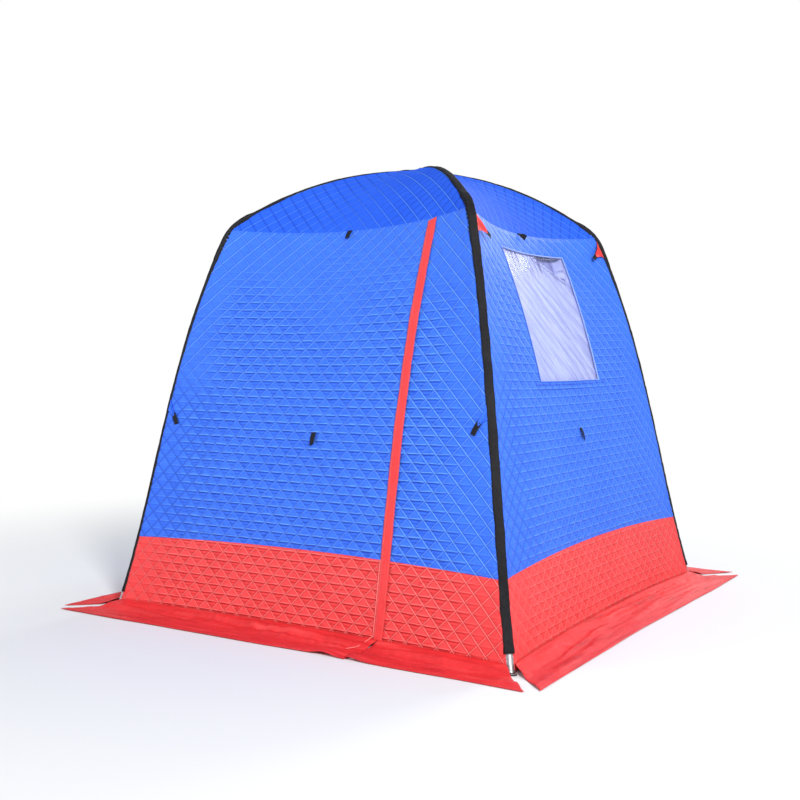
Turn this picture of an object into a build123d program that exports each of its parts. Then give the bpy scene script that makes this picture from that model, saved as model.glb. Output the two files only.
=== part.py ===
from build123d import *
from math import atan2, cos, degrees, radians, sin, sqrt
import os

# A quilted ice fishing hut, two metres square, that one person puts up on the ice.
# Four springy poles rise from the corners, bend at a shoulder elbow and meet in a hub
# at the crown. Each pole runs in a black sleeve sewn down a ridge, and padded cloth is
# stretched between the sleeves: a red band at the foot, a blue wall, a blue roof gore.
# A red skirt lies on the ice all round. The hut has no floor.
#
# Frame: millimetres, +Z up, origin on the ice under the crown. The front, with the
# zipped doorway, faces -Y, and the windows are in the left (-X) and right (+X) sides.

# ---- driving dimensions -------------------------------------------------------------
BASE_HALF = 1000  # centre of the hut to a pole's centre, along X or Y, on the ice
SHOULDER_HALF = 637  # the same at the shoulder elbow
KNEE_HALF = 866  # control width a third of the way up a leg, which flares at its foot
THIGH_HALF = 833  # control width two thirds up, where the loaded pole bows outwards
SHOULDER_Z = 1729
CROWN_Z = 2020
BAND_TOP = 312  # height, at a leg, of the seam between the red band and the blue wall
DOOR_BAND_RISE = 10  # how far that seam arches up at mid-width, front and back
WINDOW_BAND_RISE = 45  # the same under the windows

CLOTH = 6  # quilted cloth: shell, wadding and lining
SIDE_BOW_FOOT = 45  # how far a side is drawn in at mid-width, along its foot
SIDE_BOW_MIDDLE = 30
SIDE_BOW_SHOULDER = 110
SEAM_DIP = 40  # how far the shoulder seam hangs below its two corners

SLEEVE = 36  # width and depth of a filled pole sleeve
SLEEVE_CLOTH = 2
SLEEVE_CORNER = 9
SLEEVE_FLAT = SLEEVE - 2 * SLEEVE_CORNER
SLEEVE_START = 64  # bare length of leg under the sleeve, along the leg
ELBOW_REACH = 60  # length of leg, and of roof arc, that the elbow's bend takes up

LEG_D = 25
LEG_WALL = 1.5
ROD_D = 16
ELBOW_D = 31
SOCKET_DEPTH = 45
HUB_D = 31
HUB_STUB_D = 27
HUB_REACH = 70

FERRULE_D = 33
FERRULE_NECK_D = 30
FERRULE_LENGTH = 62
FERRULE_NECK_END = 84
FERRULE_RIM_D = 35.6
FERRULE_RIM = 5
FERRULE_BOTTOM = 9  # thickness of the closed end under the leg

STRAP_WIDTH = 25
STRAP_THICK = 2.5
STRAP_INNER = 22  # how far the strap runs in under the ferrule, from the leg's centre
EYELET_AT = 38  # leg's centre to the eyelet's centre, outwards along the diagonal
EYELET_HOLE_R = 5
EYELET_BARREL_R = 6.5
EYELET_FLANGE_R = 9.5
EYELET_FLANGE = 1.2

SKIRT_OUT = 1190  # centre of the hut to the skirt's outer hem
SKIRT_THICK = 3
SKIRT_SLIT = 2  # the skirt is slit below the doorway
SKIRT_GAP = 60  # between two skirts at their hems; it narrows towards the ferrule

ZIP_FOOT_X = 413
ZIP_MIDDLE_X = 427
ZIP_TOP_X = 442
ZIP_TOP_Z = 1760  # above the shoulder seam, so that it cuts the whole front
ZIP_WIDTH = 8
FLAP_WIDTH = 46
FLAP_THICK = 2
FLAP_STAND = 0.2  # between the flap and the wall it lies on
FLAP_TOP = 1690
ZIP_INSET = 2  # depth of the zip tape below both faces of the cloth

WINDOW_WIDTH = 622
WINDOW_FOOT = 1028
WINDOW_HEAD = 1600
PANE = 1.5
PANE_INNER = -3.5  # the pane's inner face, measured outwards from the cloth's outer face
CURTAIN = 5
CURTAIN_LAP = 25
CURTAIN_DROOP = 210  # width, along its top edge, of the corner that has come loose
CURTAIN_DROOP_DEPTH = 95

TAB_WIDTH = 22
TAB_THICK = 3  # webbing folded double and pressed flat
TAB_LENGTH = 58
SHORT_TAB_LENGTH = 40
TAB_ROOT = 3  # depth at which a tab is caught in the cloth
SEAM_TAB_X = -20
SEAM_TAB_Z = 1690
WALL_TAB_Z = 817
GUSSET_CLOTH = 1.5
GUSSET_CLEAR = 1
RED_GUSSET = {"top": 1708, "foot": 1632, "tip": (582, -677, 1640)}
BLUE_GUSSET = {"top": 940, "foot": 885, "tip": (792, -861, 876)}
CROWN_LOOP_R = 16
CROWN_LOOP_CLOTH = 2.5
CROWN_LOOP_AT = 34  # centre of the crown to the loop, along the back left ridge

CORNERS = {"front_right": -45, "back_right": 45, "back_left": 135, "front_left": -135}
SIDES = {"front": 0, "right": 90, "back": 180, "left": -90}

DIAGONAL = sqrt(2)
FLANK = SLEEVE / 2  # a sleeve's side faces lie this far from the diagonal plane


def save(name, *shapes):
    """Writes one node, of one solid or of several that don't touch."""
    solids = [solid for shape in shapes for solid in shape.solids()]
    export_step(solids[0] if len(solids) == 1 else Compound(solids), f"parts/{name}.step")


def turned(shape, angle):
    return Rot(0, 0, angle) * shape


# ---- the line of a pole, in the plane y = 0 with x running out along the diagonal -----
def leg_half(height):
    """Centre of the hut to a leg's centre, along X or Y, at a height."""
    t = height / SHOULDER_Z
    flare = BASE_HALF * (1 - t) ** 3 + 3 * KNEE_HALF * t * (1 - t) ** 2
    return flare + 3 * THIGH_HALF * (1 - t) * t**2 + SHOULDER_HALF * t**3


ROOF_RISE = CROWN_Z - SHOULDER_Z
ROOF_REACH = SHOULDER_HALF * DIAGONAL
ROOF_R = (ROOF_REACH**2 + ROOF_RISE**2) / (2 * ROOF_RISE)
ROOF_ANGLE = degrees(atan2(ROOF_REACH, ROOF_R - ROOF_RISE))

leg_controls = [BASE_HALF, KNEE_HALF, THIGH_HALF, SHOULDER_HALF]
whole_leg = Bezier(*[(half * DIAGONAL, 0, SHOULDER_Z * i / 3) for i, half in enumerate(leg_controls)])
roof_plane = Plane(origin=(0, 0, CROWN_Z - ROOF_R), x_dir=(1, 0, 0), z_dir=(0, -1, 0))
whole_roof = roof_plane * CenterArc((0, 0), ROOF_R, 90 - ROOF_ANGLE, ROOF_ANGLE)


def part_of(edge, start, end):
    """The stretch of an edge between two lengths measured along it."""
    return edge.trim(start / edge.length, end / edge.length)


leg_end = whole_leg.length - ELBOW_REACH
leg_line = part_of(whole_leg, 0, leg_end)
roof_line = part_of(whole_roof, ELBOW_REACH, whole_roof.length)
elbow_line = Spline([leg_line @ 1, roof_line @ 0], tangents=[leg_line % 1, roof_line % 0])


def along(path, sketch):
    """Sweeps a sketch along a path in the plane y = 0, keeping its x across the plane."""
    start = Plane(origin=path @ 0, x_dir=(0, 1, 0), z_dir=path % 0)
    return sweep(start * sketch, path=path)


# ---- frame --------------------------------------------------------------------------
def crown_hub():
    """Four-way moulded hub: a round boss with a socket for each roof rod."""
    height = HUB_STUB_D
    boss = Pos(0, 0, CROWN_Z) * Cylinder(HUB_D / 2, height)
    stub_line = part_of(whole_roof, whole_roof.length - HUB_REACH, whole_roof.length)
    stub = along(Wire([stub_line]), Circle(HUB_STUB_D / 2))
    for angle in CORNERS.values():
        boss += turned(stub, angle)
    for angle in CORNERS.values():
        boss -= turned(roof_rod(), angle)
    return fillet(boss.edges().filter_by(GeomType.CIRCLE).group_by(Axis.Z)[-1], 3)


def roof_rod():
    """Fibreglass rod from the elbow's socket to just short of the crown's centre."""
    line = part_of(whole_roof, ELBOW_REACH, whole_roof.length - HUB_D / 2)
    return along(Wire([line]), Circle(ROD_D / 2))


def leg_pole():
    """Leg tube, from the ferrule's closed end up to the elbow."""
    line = Wire([part_of(whole_leg, FERRULE_BOTTOM, leg_end)])
    return along(line, Circle(LEG_D / 2)) - along(line, Circle(LEG_D / 2 - LEG_WALL))


def shoulder_elbow():
    """Bent fitting with a deep socket for the leg below and for the rod above."""
    below = part_of(whole_leg, leg_end - SOCKET_DEPTH, leg_end)
    above = part_of(whole_roof, ELBOW_REACH, ELBOW_REACH + SOCKET_DEPTH)
    body = along(Wire([below, elbow_line, above]), Circle(ELBOW_D / 2))
    body -= along(Wire([below]), Circle(LEG_D / 2))
    return body - along(Wire([above]), Circle(ROD_D / 2))


def foot_ferrule():
    """Galvanised foot: a rimmed cup with a neck that slips up inside the sleeve."""
    radii = [
        (0, -2 * FERRULE_RIM_D),
        (FERRULE_RIM_D / 2, -2 * FERRULE_RIM_D),
        (FERRULE_RIM_D / 2, FERRULE_RIM),
        (FERRULE_D / 2, FERRULE_RIM + 2),
        (FERRULE_D / 2, FERRULE_LENGTH - 2),
        (FERRULE_NECK_D / 2, FERRULE_LENGTH),
        (FERRULE_NECK_D / 2, FERRULE_NECK_END),
        (0, FERRULE_NECK_END),
    ]
    profile = make_face(Polyline(*[(r, 0, w) for r, w in radii], close=True))
    axis_plane = Plane(origin=whole_leg @ 0, x_dir=(0, 1, 0), z_dir=whole_leg % 0)
    cup = axis_plane * revolve(profile, Axis.Z)
    cup -= along(Wire([part_of(whole_leg, FERRULE_BOTTOM, FERRULE_NECK_END + LEG_D)]), Circle(LEG_D / 2))
    return split(cup, Plane.XY.offset(STRAP_THICK), keep=Keep.TOP)


def foot_strap():
    """Webbing under the ferrule that reaches out over the gap between two skirts."""
    foot = BASE_HALF * DIAGONAL
    run = EYELET_AT + STRAP_INNER
    strip = Pos(foot - STRAP_INNER + run / 2, 0) * Rectangle(run, STRAP_WIDTH)
    strip += Pos(foot + EYELET_AT, 0) * Circle(STRAP_WIDTH / 2)
    strip -= Pos(foot + EYELET_AT, 0) * Circle(EYELET_BARREL_R)
    return extrude(strip, STRAP_THICK)


def strap_eyelet():
    """Pressed metal eyelet: a barrel through the strap and a flange on top of it."""
    centre = Pos(BASE_HALF * DIAGONAL + EYELET_AT, 0)
    barrel = extrude(Circle(EYELET_BARREL_R), STRAP_THICK + EYELET_FLANGE)
    flange = Pos(0, 0, STRAP_THICK) * extrude(Circle(EYELET_FLANGE_R), EYELET_FLANGE)
    hole = extrude(Circle(EYELET_HOLE_R), STRAP_THICK + EYELET_FLANGE)
    return centre * (barrel + flange - hole)


def pole_sleeve():
    """Cloth tube round one whole pole, mitred against the other three at the crown."""
    sleeved_leg = part_of(whole_leg, SLEEVE_START, leg_end)
    line = Wire([sleeved_leg, elbow_line, roof_line])
    outer = RectangleRounded(SLEEVE, SLEEVE, SLEEVE_CORNER)
    bore = SLEEVE - 2 * SLEEVE_CLOTH
    inner = RectangleRounded(bore, bore, SLEEVE_CORNER - SLEEVE_CLOTH)
    tube = along(line, outer) - along(line, inner)
    for side in (1, -1):
        mitre = Plane(origin=(0, 0, 0), z_dir=(1, side, 0))
        tube = split(tube, mitre, keep=Keep.TOP)
    return tube


# ---- cloth of one side, modelled for the front -----------------------------------------
RIDGE = FLANK / DIAGONAL  # the two cloth faces of a corner would meet this far outside
SHOULDER_CORNER = SHOULDER_HALF + RIDGE
SHOULDER_CORNER_Z = SHOULDER_Z + 2
RIDGE_TOP = CROWN_Z + 3
RIDGE_RISE = RIDGE_TOP - SHOULDER_CORNER_Z
RIDGE_R = ((SHOULDER_CORNER * DIAGONAL) ** 2 + RIDGE_RISE**2) / (2 * RIDGE_RISE)
GORE_STEPS = (1, 0.8, 0.6, 0.4, 0.2, 0.03)
SIDE_HEIGHTS = (SKIRT_THICK, BAND_TOP, 700, 1100, 1450)
SHOULDER_SAG = sqrt(SIDE_BOW_SHOULDER**2 + SEAM_DIP**2)
SHOULDER_TILT = degrees(atan2(SEAM_DIP, SIDE_BOW_SHOULDER))
CROWN_TILT = 75  # near the crown the cloth sags down more than in


def side_bow(height):
    """How far the middle of a side is drawn in at a height: least near mid-height."""
    t = height / SHOULDER_Z
    rise = SIDE_BOW_SHOULDER - SIDE_BOW_FOOT
    drop = SIDE_BOW_MIDDLE - SIDE_BOW_FOOT
    curve = 2 * rise - 4 * drop
    return SIDE_BOW_FOOT + (rise - curve) * t + curve * t**2


def strip_section(half, height, bow, dip, inner, outer):
    """Closed strip right across a side. Its edges are arcs hung between two corners, bowed
    inwards and dipped at mid-width, and inner and outer are how far they stand outside
    the cloth's outer face."""
    inward = Vector(0, bow, -dip).normalized()

    def arc(distance):
        left, middle, right = (
            Vector(*point) - inward * distance
            for point in ((-half, -half, height), (0, bow - half, height - dip), (half, -half, height))
        )
        return ThreePointArc(left, middle, right)

    near, far = arc(outer), arc(inner)
    return Face(Wire([near, Line(near @ 1, far @ 1), far, Line(far @ 0, near @ 0)]))


def shoulder_section(inner, outer):
    return strip_section(SHOULDER_CORNER, SHOULDER_CORNER_Z, SIDE_BOW_SHOULDER, SEAM_DIP, inner, outer)


def between_sleeves(shape, clearance=0):
    """Cuts a front piece at the side faces of the two front sleeves."""
    for side in (1, -1):
        normal = (-side, -1, 0)
        offset = FLANK + clearance
        start = Vector(*normal).normalized() * offset
        shape = split(shape, Plane(origin=start, z_dir=normal), keep=Keep.TOP)
    return shape


def side_skin(inner, outer):
    """One side from the skirt to the shoulder seam, between two distances outside the
    cloth's outer face, before it is cut to the sleeves."""
    sections = [
        strip_section(
            leg_half(z) + RIDGE, z, side_bow(z), SEAM_DIP * (z / SHOULDER_Z) ** 2, inner, outer
        )
        for z in SIDE_HEIGHTS
    ]
    return loft([*sections, shoulder_section(inner, outer)])


def roof_gore():
    """Roof cloth between two sleeves, from the shoulder seam to its point at the crown."""
    sections = []
    for share in GORE_STEPS:
        half = SHOULDER_CORNER * share
        height = RIDGE_TOP - RIDGE_R + sqrt(RIDGE_R**2 - (half * DIAGONAL) ** 2)
        sag = SHOULDER_SAG * share**1.3
        tilt = radians(CROWN_TILT + (SHOULDER_TILT - CROWN_TILT) * share)
        sections.append(strip_section(half, height, sag * cos(tilt), sag * sin(tilt), -CLOTH, 0))
    return between_sleeves(loft(sections))


def zip_outline(width, top):
    """The line of the doorway's zip, from the ice to a height, as a strip in X and Z."""
    points = ((ZIP_FOOT_X, 0), (ZIP_MIDDLE_X, ZIP_TOP_Z / 2), (ZIP_TOP_X, ZIP_TOP_Z))
    left, right = (ThreePointArc(*[(x + shift, z) for x, z in points]) for shift in (-width / 2, width / 2))
    strip = make_face([left, Line(left @ 1, right @ 1), right, Line(right @ 0, left @ 0)])
    return strip & Pos(0, top / 2) * Rectangle(2 * BASE_HALF, top)


def window_block(margin=0):
    """The window's outline with a margin all round, as a block through the front side."""
    height = WINDOW_HEAD - WINDOW_FOOT
    block = Box(WINDOW_WIDTH + 2 * margin, BASE_HALF, height + 2 * margin)
    return Pos(0, -BASE_HALF / 2, (WINDOW_HEAD + WINDOW_FOOT) / 2) * block


def skirt():
    """Red skirt lying on the ice, its inner edge under the padded band."""
    corner = leg_half(SKIRT_THICK) + RIDGE
    bow = side_bow(SKIRT_THICK)
    left, right = (-corner, CLOTH - corner), (corner, CLOTH - corner)
    inner = ThreePointArc(left, (0, CLOTH + bow - corner), right)
    hem = SKIRT_OUT - SKIRT_GAP / DIAGONAL
    outer = Polyline(right, (hem, -SKIRT_OUT), (-hem, -SKIRT_OUT), left)
    return between_sleeves(extrude(make_face([inner, outer]), SKIRT_THICK))


# ---- trim, modelled for the front side --------------------------------------------------
def wall_patch(outline, inner, outer):
    """A piece of cloth that follows the wall, cut to an outline in X and Z."""
    block = extrude(Plane.XZ * outline, amount=2 * BASE_HALF)
    return between_sleeves(side_skin(inner, outer)) & block


def under_seam(rise):
    """A block as high as the red band, arched by a rise at mid-width."""
    half = leg_half(BAND_TOP)
    seam = ThreePointArc((-half, BAND_TOP), (0, BAND_TOP + rise), (half, BAND_TOP))
    below = Polyline(
        seam @ 1,
        (SKIRT_OUT, BAND_TOP),
        (SKIRT_OUT, 0),
        (-SKIRT_OUT, 0),
        (-SKIRT_OUT, BAND_TOP),
        seam @ 0,
    )
    return extrude(Plane.XZ * make_face([seam, below]), amount=SKIRT_OUT)


def wall_face_y(x, height):
    """The front cloth's outer face: its Y at a place on it."""
    half = leg_half(height) + RIDGE
    return side_bow(height) * (1 - (x / half) ** 2) - half


def gusset(top, foot, tip):
    """Flat triangle of cloth from the sleeve on the right to a tip that stands off the wall."""
    at_sleeve = [
        (leg_half(z) - RIDGE, -leg_half(z) - RIDGE - GUSSET_CLEAR, z) for z in (top, foot)
    ]
    triangle = Face(Wire(Polyline(*at_sleeve, tip, close=True)))
    outward = triangle.normal_at()
    if outward.Y > 0:
        outward = -outward
    return between_sleeves(extrude(triangle, GUSSET_CLOTH, dir=outward))


def tab(root, length, droop):
    """Short webbing tab that juts from its root and droops by an angle below level."""
    strip = Pos(0, -length / 2, 0) * Box(TAB_WIDTH, length, TAB_THICK)
    return Pos(*root) * Rot(droop, 0, 0) * strip


def wall_tab(x, height, length, droop, cloth):
    """A tab whose root is caught in a wall."""
    root = (x, wall_face_y(x, height) + TAB_ROOT, height)
    return tab(root, length, droop) - cloth


def curtain_outline():
    """The curtain's block, less the top corner that has come loose and droops."""
    block = window_block(CURTAIN_LAP)
    side = WINDOW_WIDTH / 2 + CURTAIN_LAP
    top = WINDOW_HEAD + CURTAIN_LAP
    lap = CURTAIN_LAP
    loose = Polyline(
        (side - lap - CURTAIN_DROOP, top + 1),
        (side - lap - CURTAIN_DROOP, top - lap),
        (side - lap, top - lap - CURTAIN_DROOP_DEPTH),
        (side + 1, top - lap - CURTAIN_DROOP_DEPTH),
        (side + 1, top + 1),
        close=True,
    )
    return block - extrude(Plane.XZ * make_face(loose), amount=2 * BASE_HALF)


def crown_loop():
    """Webbing hanging loop that stands on one ridge, beside the crown."""
    loop = Circle(CROWN_LOOP_R) - Circle(CROWN_LOOP_R - CROWN_LOOP_CLOTH)
    loop &= Pos(0, CROWN_LOOP_R) * Rectangle(2 * CROWN_LOOP_R, 2 * CROWN_LOOP_R)
    ring = extrude(Plane.XZ * loop, amount=SLEEVE_FLAT / 2, both=True)
    lean = Rot(0, degrees(CROWN_LOOP_AT / ROOF_R), 0)
    return Pos(0, 0, CROWN_Z - ROOF_R) * lean * Pos(0, 0, ROOF_R + FLANK) * ring


# ---- write the parts ----------------------------------------------------------------
os.makedirs("parts", exist_ok=True)
for corner, angle in CORNERS.items():
    save(f"roof_rod_{corner}", turned(roof_rod(), angle))
    save(f"leg_pole_{corner}", turned(leg_pole(), angle))
    save(f"pole_sleeve_{corner}", turned(pole_sleeve(), angle))
save("crown_hub", crown_hub())
save("shoulder_elbows", *[turned(shoulder_elbow(), angle) for angle in CORNERS.values()])
save("foot_ferrules", *[turned(foot_ferrule(), angle) for angle in CORNERS.values()])
save("foot_straps", *[turned(foot_strap(), angle) for angle in CORNERS.values()])
save("strap_eyelets", *[turned(strap_eyelet(), angle) for angle in CORNERS.values()])

side = between_sleeves(side_skin(-CLOTH, 0))
gore = roof_gore()
skirt_piece = skirt()
under_door_seam, under_window_seam = under_seam(DOOR_BAND_RISE), under_seam(WINDOW_BAND_RISE)
door_band, window_band = side & under_door_seam, side & under_window_seam
door_wall, window_wall = side - under_door_seam, side - under_window_seam - window_block()
pane = side_skin(PANE_INNER, PANE_INNER + PANE) & window_block()
curtain = side_skin(-CLOTH - CURTAIN, -CLOTH) & curtain_outline()
for name, angle in SIDES.items():
    save(f"roof_gore_{name}", turned(gore, angle))
    if name != "front":
        save(f"{name}_skirt", turned(skirt_piece, angle))
for name in ("left", "right"):
    save(f"{name}_band", turned(window_band, SIDES[name]))
    save(f"{name}_wall", turned(window_wall, SIDES[name]))
    save(f"window_pane_{name}", turned(pane, SIDES[name]))
    save(f"window_curtain_{name}", turned(curtain, SIDES[name]))
save("back_band", turned(door_band, SIDES["back"]))
save("back_wall", turned(door_wall, SIDES["back"]))

opening = extrude(Plane.XZ * zip_outline(ZIP_WIDTH, ZIP_TOP_Z), amount=2 * BASE_HALF)
slit = Pos(ZIP_FOOT_X, -SKIRT_OUT, 0) * Box(SKIRT_SLIT, BASE_HALF, 4 * SKIRT_THICK)
front_cloth = {
    "wall": (door_wall, opening),
    "band": (door_band, opening),
    "skirt": (skirt_piece, slit),
}
for name, (whole, cut) in front_cloth.items():
    halves = (whole - cut).solids().sort_by(Axis.X)
    save(f"front_{name}_left", halves[0])
    save(f"front_{name}_right", halves[-1])
save("door_zip", wall_patch(zip_outline(ZIP_WIDTH, ZIP_TOP_Z), -CLOTH + ZIP_INSET, -ZIP_INSET))
save("storm_flap", wall_patch(zip_outline(FLAP_WIDTH, FLAP_TOP), FLAP_STAND, FLAP_STAND + FLAP_THICK))

red_gusset, blue_gusset = gusset(**RED_GUSSET), gusset(**BLUE_GUSSET)
red_tab = tab(RED_GUSSET["tip"], SHORT_TAB_LENGTH, 50) - red_gusset
blue_tab = tab(BLUE_GUSSET["tip"], SHORT_TAB_LENGTH, 20) - blue_gusset
seam_tab = wall_tab(SEAM_TAB_X, SEAM_TAB_Z, TAB_LENGTH, 45, side)
middle_tab = wall_tab(0, WALL_TAB_Z, TAB_LENGTH, 68, side)
red_gussets, blue_gussets, tabs = [], [], []
for name, angle in SIDES.items():
    tabs += [turned(seam_tab, angle), turned(middle_tab, angle)]
    trim = ((red_gusset, red_gussets), (red_tab, tabs))
    if name in ("front", "back"):
        trim = ((blue_gusset, blue_gussets), (blue_tab, tabs))
    for piece, pieces in trim:
        pieces += [turned(piece, angle), turned(mirror(piece, Plane.YZ), angle)]
save("shoulder_gussets", *red_gussets)
save("pole_gussets", *blue_gussets)
save("webbing_tabs", *tabs, turned(crown_loop(), CORNERS["back_left"]))
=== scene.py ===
from math import atan2, cos, pi, radians, sin, sqrt

import bmesh
import bpy
import numpy as np
from mathutils import Matrix, Vector
from mathutils.geometry import delaunay_2d_cdt


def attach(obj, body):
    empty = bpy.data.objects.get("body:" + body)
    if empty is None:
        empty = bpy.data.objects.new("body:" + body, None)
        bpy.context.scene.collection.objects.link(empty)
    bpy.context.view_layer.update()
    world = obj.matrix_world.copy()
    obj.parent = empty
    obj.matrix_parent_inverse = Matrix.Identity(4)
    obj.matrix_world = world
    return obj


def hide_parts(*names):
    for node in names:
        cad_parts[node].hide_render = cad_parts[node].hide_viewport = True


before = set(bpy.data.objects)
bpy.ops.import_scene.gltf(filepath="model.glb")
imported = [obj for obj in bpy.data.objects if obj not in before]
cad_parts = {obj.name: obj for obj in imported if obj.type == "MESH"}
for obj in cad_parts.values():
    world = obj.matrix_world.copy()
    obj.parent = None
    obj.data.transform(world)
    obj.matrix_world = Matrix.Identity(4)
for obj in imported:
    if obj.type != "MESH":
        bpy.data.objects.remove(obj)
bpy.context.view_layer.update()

# ==== Studio ==========================================================================
# A pale floor and a white surround under soft lamps: a broad one high on the right, a
# weaker one on the left, one behind, and a camera at head height off the near corner.
camera_data = bpy.data.cameras.new("camera")
camera_data.lens = 47.33
camera_data.sensor_width = 36.0
camera_data.clip_end = 60.0
camera = bpy.data.objects.new("camera", camera_data)
bpy.context.collection.objects.link(camera)
camera.location = (2.6986, -4.3368, 1.1001)
looks_along = Vector((cos(-0.0337) * cos(2.1461), cos(-0.0337) * sin(2.1461), sin(-0.0337)))
tilted = Matrix.Rotation(0.0037, 3, looks_along) @ looks_along.to_track_quat("-Z", "Y").to_matrix()
camera.rotation_euler = tilted.to_euler()
bpy.context.scene.camera = camera
bpy.context.scene.view_settings.view_transform = "Standard"


def shader(name):
    """A new material with its node tree empty but for an output and a principled shader."""
    material = bpy.data.materials.new(name)
    material.use_nodes = True
    tree = material.node_tree
    tree.nodes.clear()
    output = tree.nodes.new("ShaderNodeOutputMaterial")
    principled = tree.nodes.new("ShaderNodeBsdfPrincipled")
    plug(output.inputs["Surface"], principled.outputs[0])
    return material, tree, principled


class Signal:
    """A shader node's output that can be added, multiplied and so on, so that a pattern
    in a material reads as a formula."""

    def __init__(self, socket):
        self.socket = socket

    def node(self, kind):
        """A new node in the same tree."""
        return self.socket.id_data.nodes.new(kind)

    def __add__(self, other):
        return maths("ADD", self, other)

    def __radd__(self, other):
        return maths("ADD", other, self)

    def __sub__(self, other):
        return maths("SUBTRACT", self, other)

    def __rsub__(self, other):
        return maths("SUBTRACT", other, self)

    def __mul__(self, other):
        return maths("MULTIPLY", self, other)

    def __truediv__(self, other):
        return maths("DIVIDE", self, other)

    def __abs__(self):
        return maths("ABSOLUTE", self)


def plug(socket, value):
    """Sets a socket to a value, or joins another node's output to it."""
    if isinstance(value, Signal):
        value = value.socket
    if isinstance(value, bpy.types.NodeSocket):
        socket.id_data.links.new(value, socket)
    else:
        socket.default_value = value


def plug_all(node, *values):
    """Plugs values into a node's inputs in their order, and gives its first output."""
    for socket, value in zip(node.inputs, values):
        plug(socket, value)
    return Signal(node.outputs[0])


def maths(operation, *values):
    """One math node; its inputs are numbers or signals."""
    node = next(value for value in values if isinstance(value, Signal)).node("ShaderNodeMath")
    node.operation = operation
    return plug_all(node, *values)


def world_shader():
    """Soft light from all round, and plain white for the camera and through clear film."""
    world = bpy.data.worlds.new("studio")
    world.use_nodes = True
    tree = world.node_tree
    tree.nodes.clear()
    soft, white = (tree.nodes.new("ShaderNodeBackground") for _ in range(2))
    soft.inputs[0].default_value = (0.90, 0.94, 1.0, 1)
    soft.inputs[1].default_value = 0.5
    white.inputs[0].default_value = (1, 1, 1, 1)
    path = tree.nodes.new("ShaderNodeLightPath")
    seen = maths("MAXIMUM", *(Signal(path.outputs[f"Is {kind} Ray"]) for kind in ("Camera", "Transmission")))
    mixed = plug_all(tree.nodes.new("ShaderNodeMixShader"), seen, soft.outputs[0], white.outputs[0])
    plug(tree.nodes.new("ShaderNodeOutputWorld").inputs[0], mixed)
    bpy.context.scene.world = world


def mix_into_output(tree, share, first, second):
    """Makes a material's surface a mixture of two shaders."""
    output = next(node for node in tree.nodes if node.type == "OUTPUT_MATERIAL")
    mixed = plug_all(tree.nodes.new("ShaderNodeMixShader"), share, first, second)
    plug(output.inputs["Surface"], mixed)


def lamp(name, place, size, watts, colour):
    data = bpy.data.lights.new(name, "AREA")
    data.shape = "DISK"
    data.size = size
    data.energy = watts
    data.color = colour
    lamp_object = bpy.data.objects.new(name, data)
    bpy.context.collection.objects.link(lamp_object)
    lamp_object.location = place
    lamp_object.rotation_euler = (Vector((0, 0, 0.9)) - Vector(place)).to_track_quat("-Z", "Y").to_euler()


world_shader()
lamp("key_lamp", (7.0, -5.4, 5.2), 1.6, 890, (1.0, 0.98, 0.95))
lamp("left_lamp", (-5.0, -5.5, 3.2), 3.0, 125, (0.95, 0.97, 1.0))
lamp("back_lamp", (0.5, 5.5, 4.5), 3.0, 220, (1.0, 1.0, 1.0))

bpy.ops.object.select_all(action="DESELECT")
bpy.ops.mesh.primitive_circle_add(vertices=96, radius=14.0, fill_type="NGON", location=(0, 0, -0.0006))
floor = bpy.context.object
floor.name = "floor"
floor_material, floor_tree, floor_shader = shader("pale_floor")
floor_shader.inputs["Base Color"].default_value = (0.78, 0.79, 0.80, 1)
floor_shader.inputs["Roughness"].default_value = 0.9
floor_place = floor_tree.nodes.new("ShaderNodeTexCoord").outputs["Object"]
distance = floor_tree.nodes.new("ShaderNodeVectorMath")
distance.operation = "LENGTH"
plug(distance.inputs[0], floor_place)
far = floor_tree.nodes.new("ShaderNodeMapRange")
far.interpolation_type = "SMOOTHSTEP"
fading = plug_all(far, distance.outputs["Value"], 1.6, 4.6)
white_share = fading * floor_tree.nodes.new("ShaderNodeLightPath").outputs["Is Camera Ray"]
white = floor_tree.nodes.new("ShaderNodeEmission")
mix_into_output(floor_tree, white_share, floor_shader.outputs[0], white.outputs[0])
floor.data.materials.append(floor_material)

# ==== Frame ===========================================================================
# Fibreglass roof rods in a moulded four-way hub, tube legs, bent elbow fittings at the
# shoulders and a galvanised cup on each foot. The cups show; sleeves cover the rest.


def coordinates(tree, kind="Object"):
    """The surface's own place, or its flat cloth coordinates, in metres."""
    return Signal(tree.nodes.new("ShaderNodeTexCoord").outputs[kind])


def drawn_out(place, share):
    """A place for a pattern that is drawn out up and down, the more the less the share."""
    node = place.node("ShaderNodeMapping")
    node.inputs["Scale"].default_value = (1.0, 1.0, share)
    return plug_all(node, place)


def noise_of(place, scale, detail=3.0, rough=0.55):
    node = place.node("ShaderNodeTexNoise")
    for socket, value in (("Vector", place), ("Scale", scale), ("Detail", detail), ("Roughness", rough)):
        plug(node.inputs[socket], value)
    return Signal(node.outputs[0])


def spread(value, low, high, to_low=0.0, to_high=1.0):
    """Maps a span of a value onto another span, clamped at both ends."""
    return plug_all(value.node("ShaderNodeMapRange"), value, low, high, to_low, to_high)


def blend_colours(share, first, second):
    node = share.node("ShaderNodeMix")
    node.data_type = "RGBA"
    plug(node.inputs[0], share)
    for socket, colour in ((node.inputs[6], first), (node.inputs[7], second)):
        plug(socket, colour if isinstance(colour, Signal) else (*colour, 1.0))
    return Signal(node.outputs[2])


def bumped(principled, height, distance, strength=1.0):
    node = height.node("ShaderNodeBump")
    for socket, value in (("Strength", strength), ("Distance", distance), ("Height", height)):
        plug(node.inputs[socket], value)
    plug(principled.inputs["Normal"], node.outputs[0])


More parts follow.
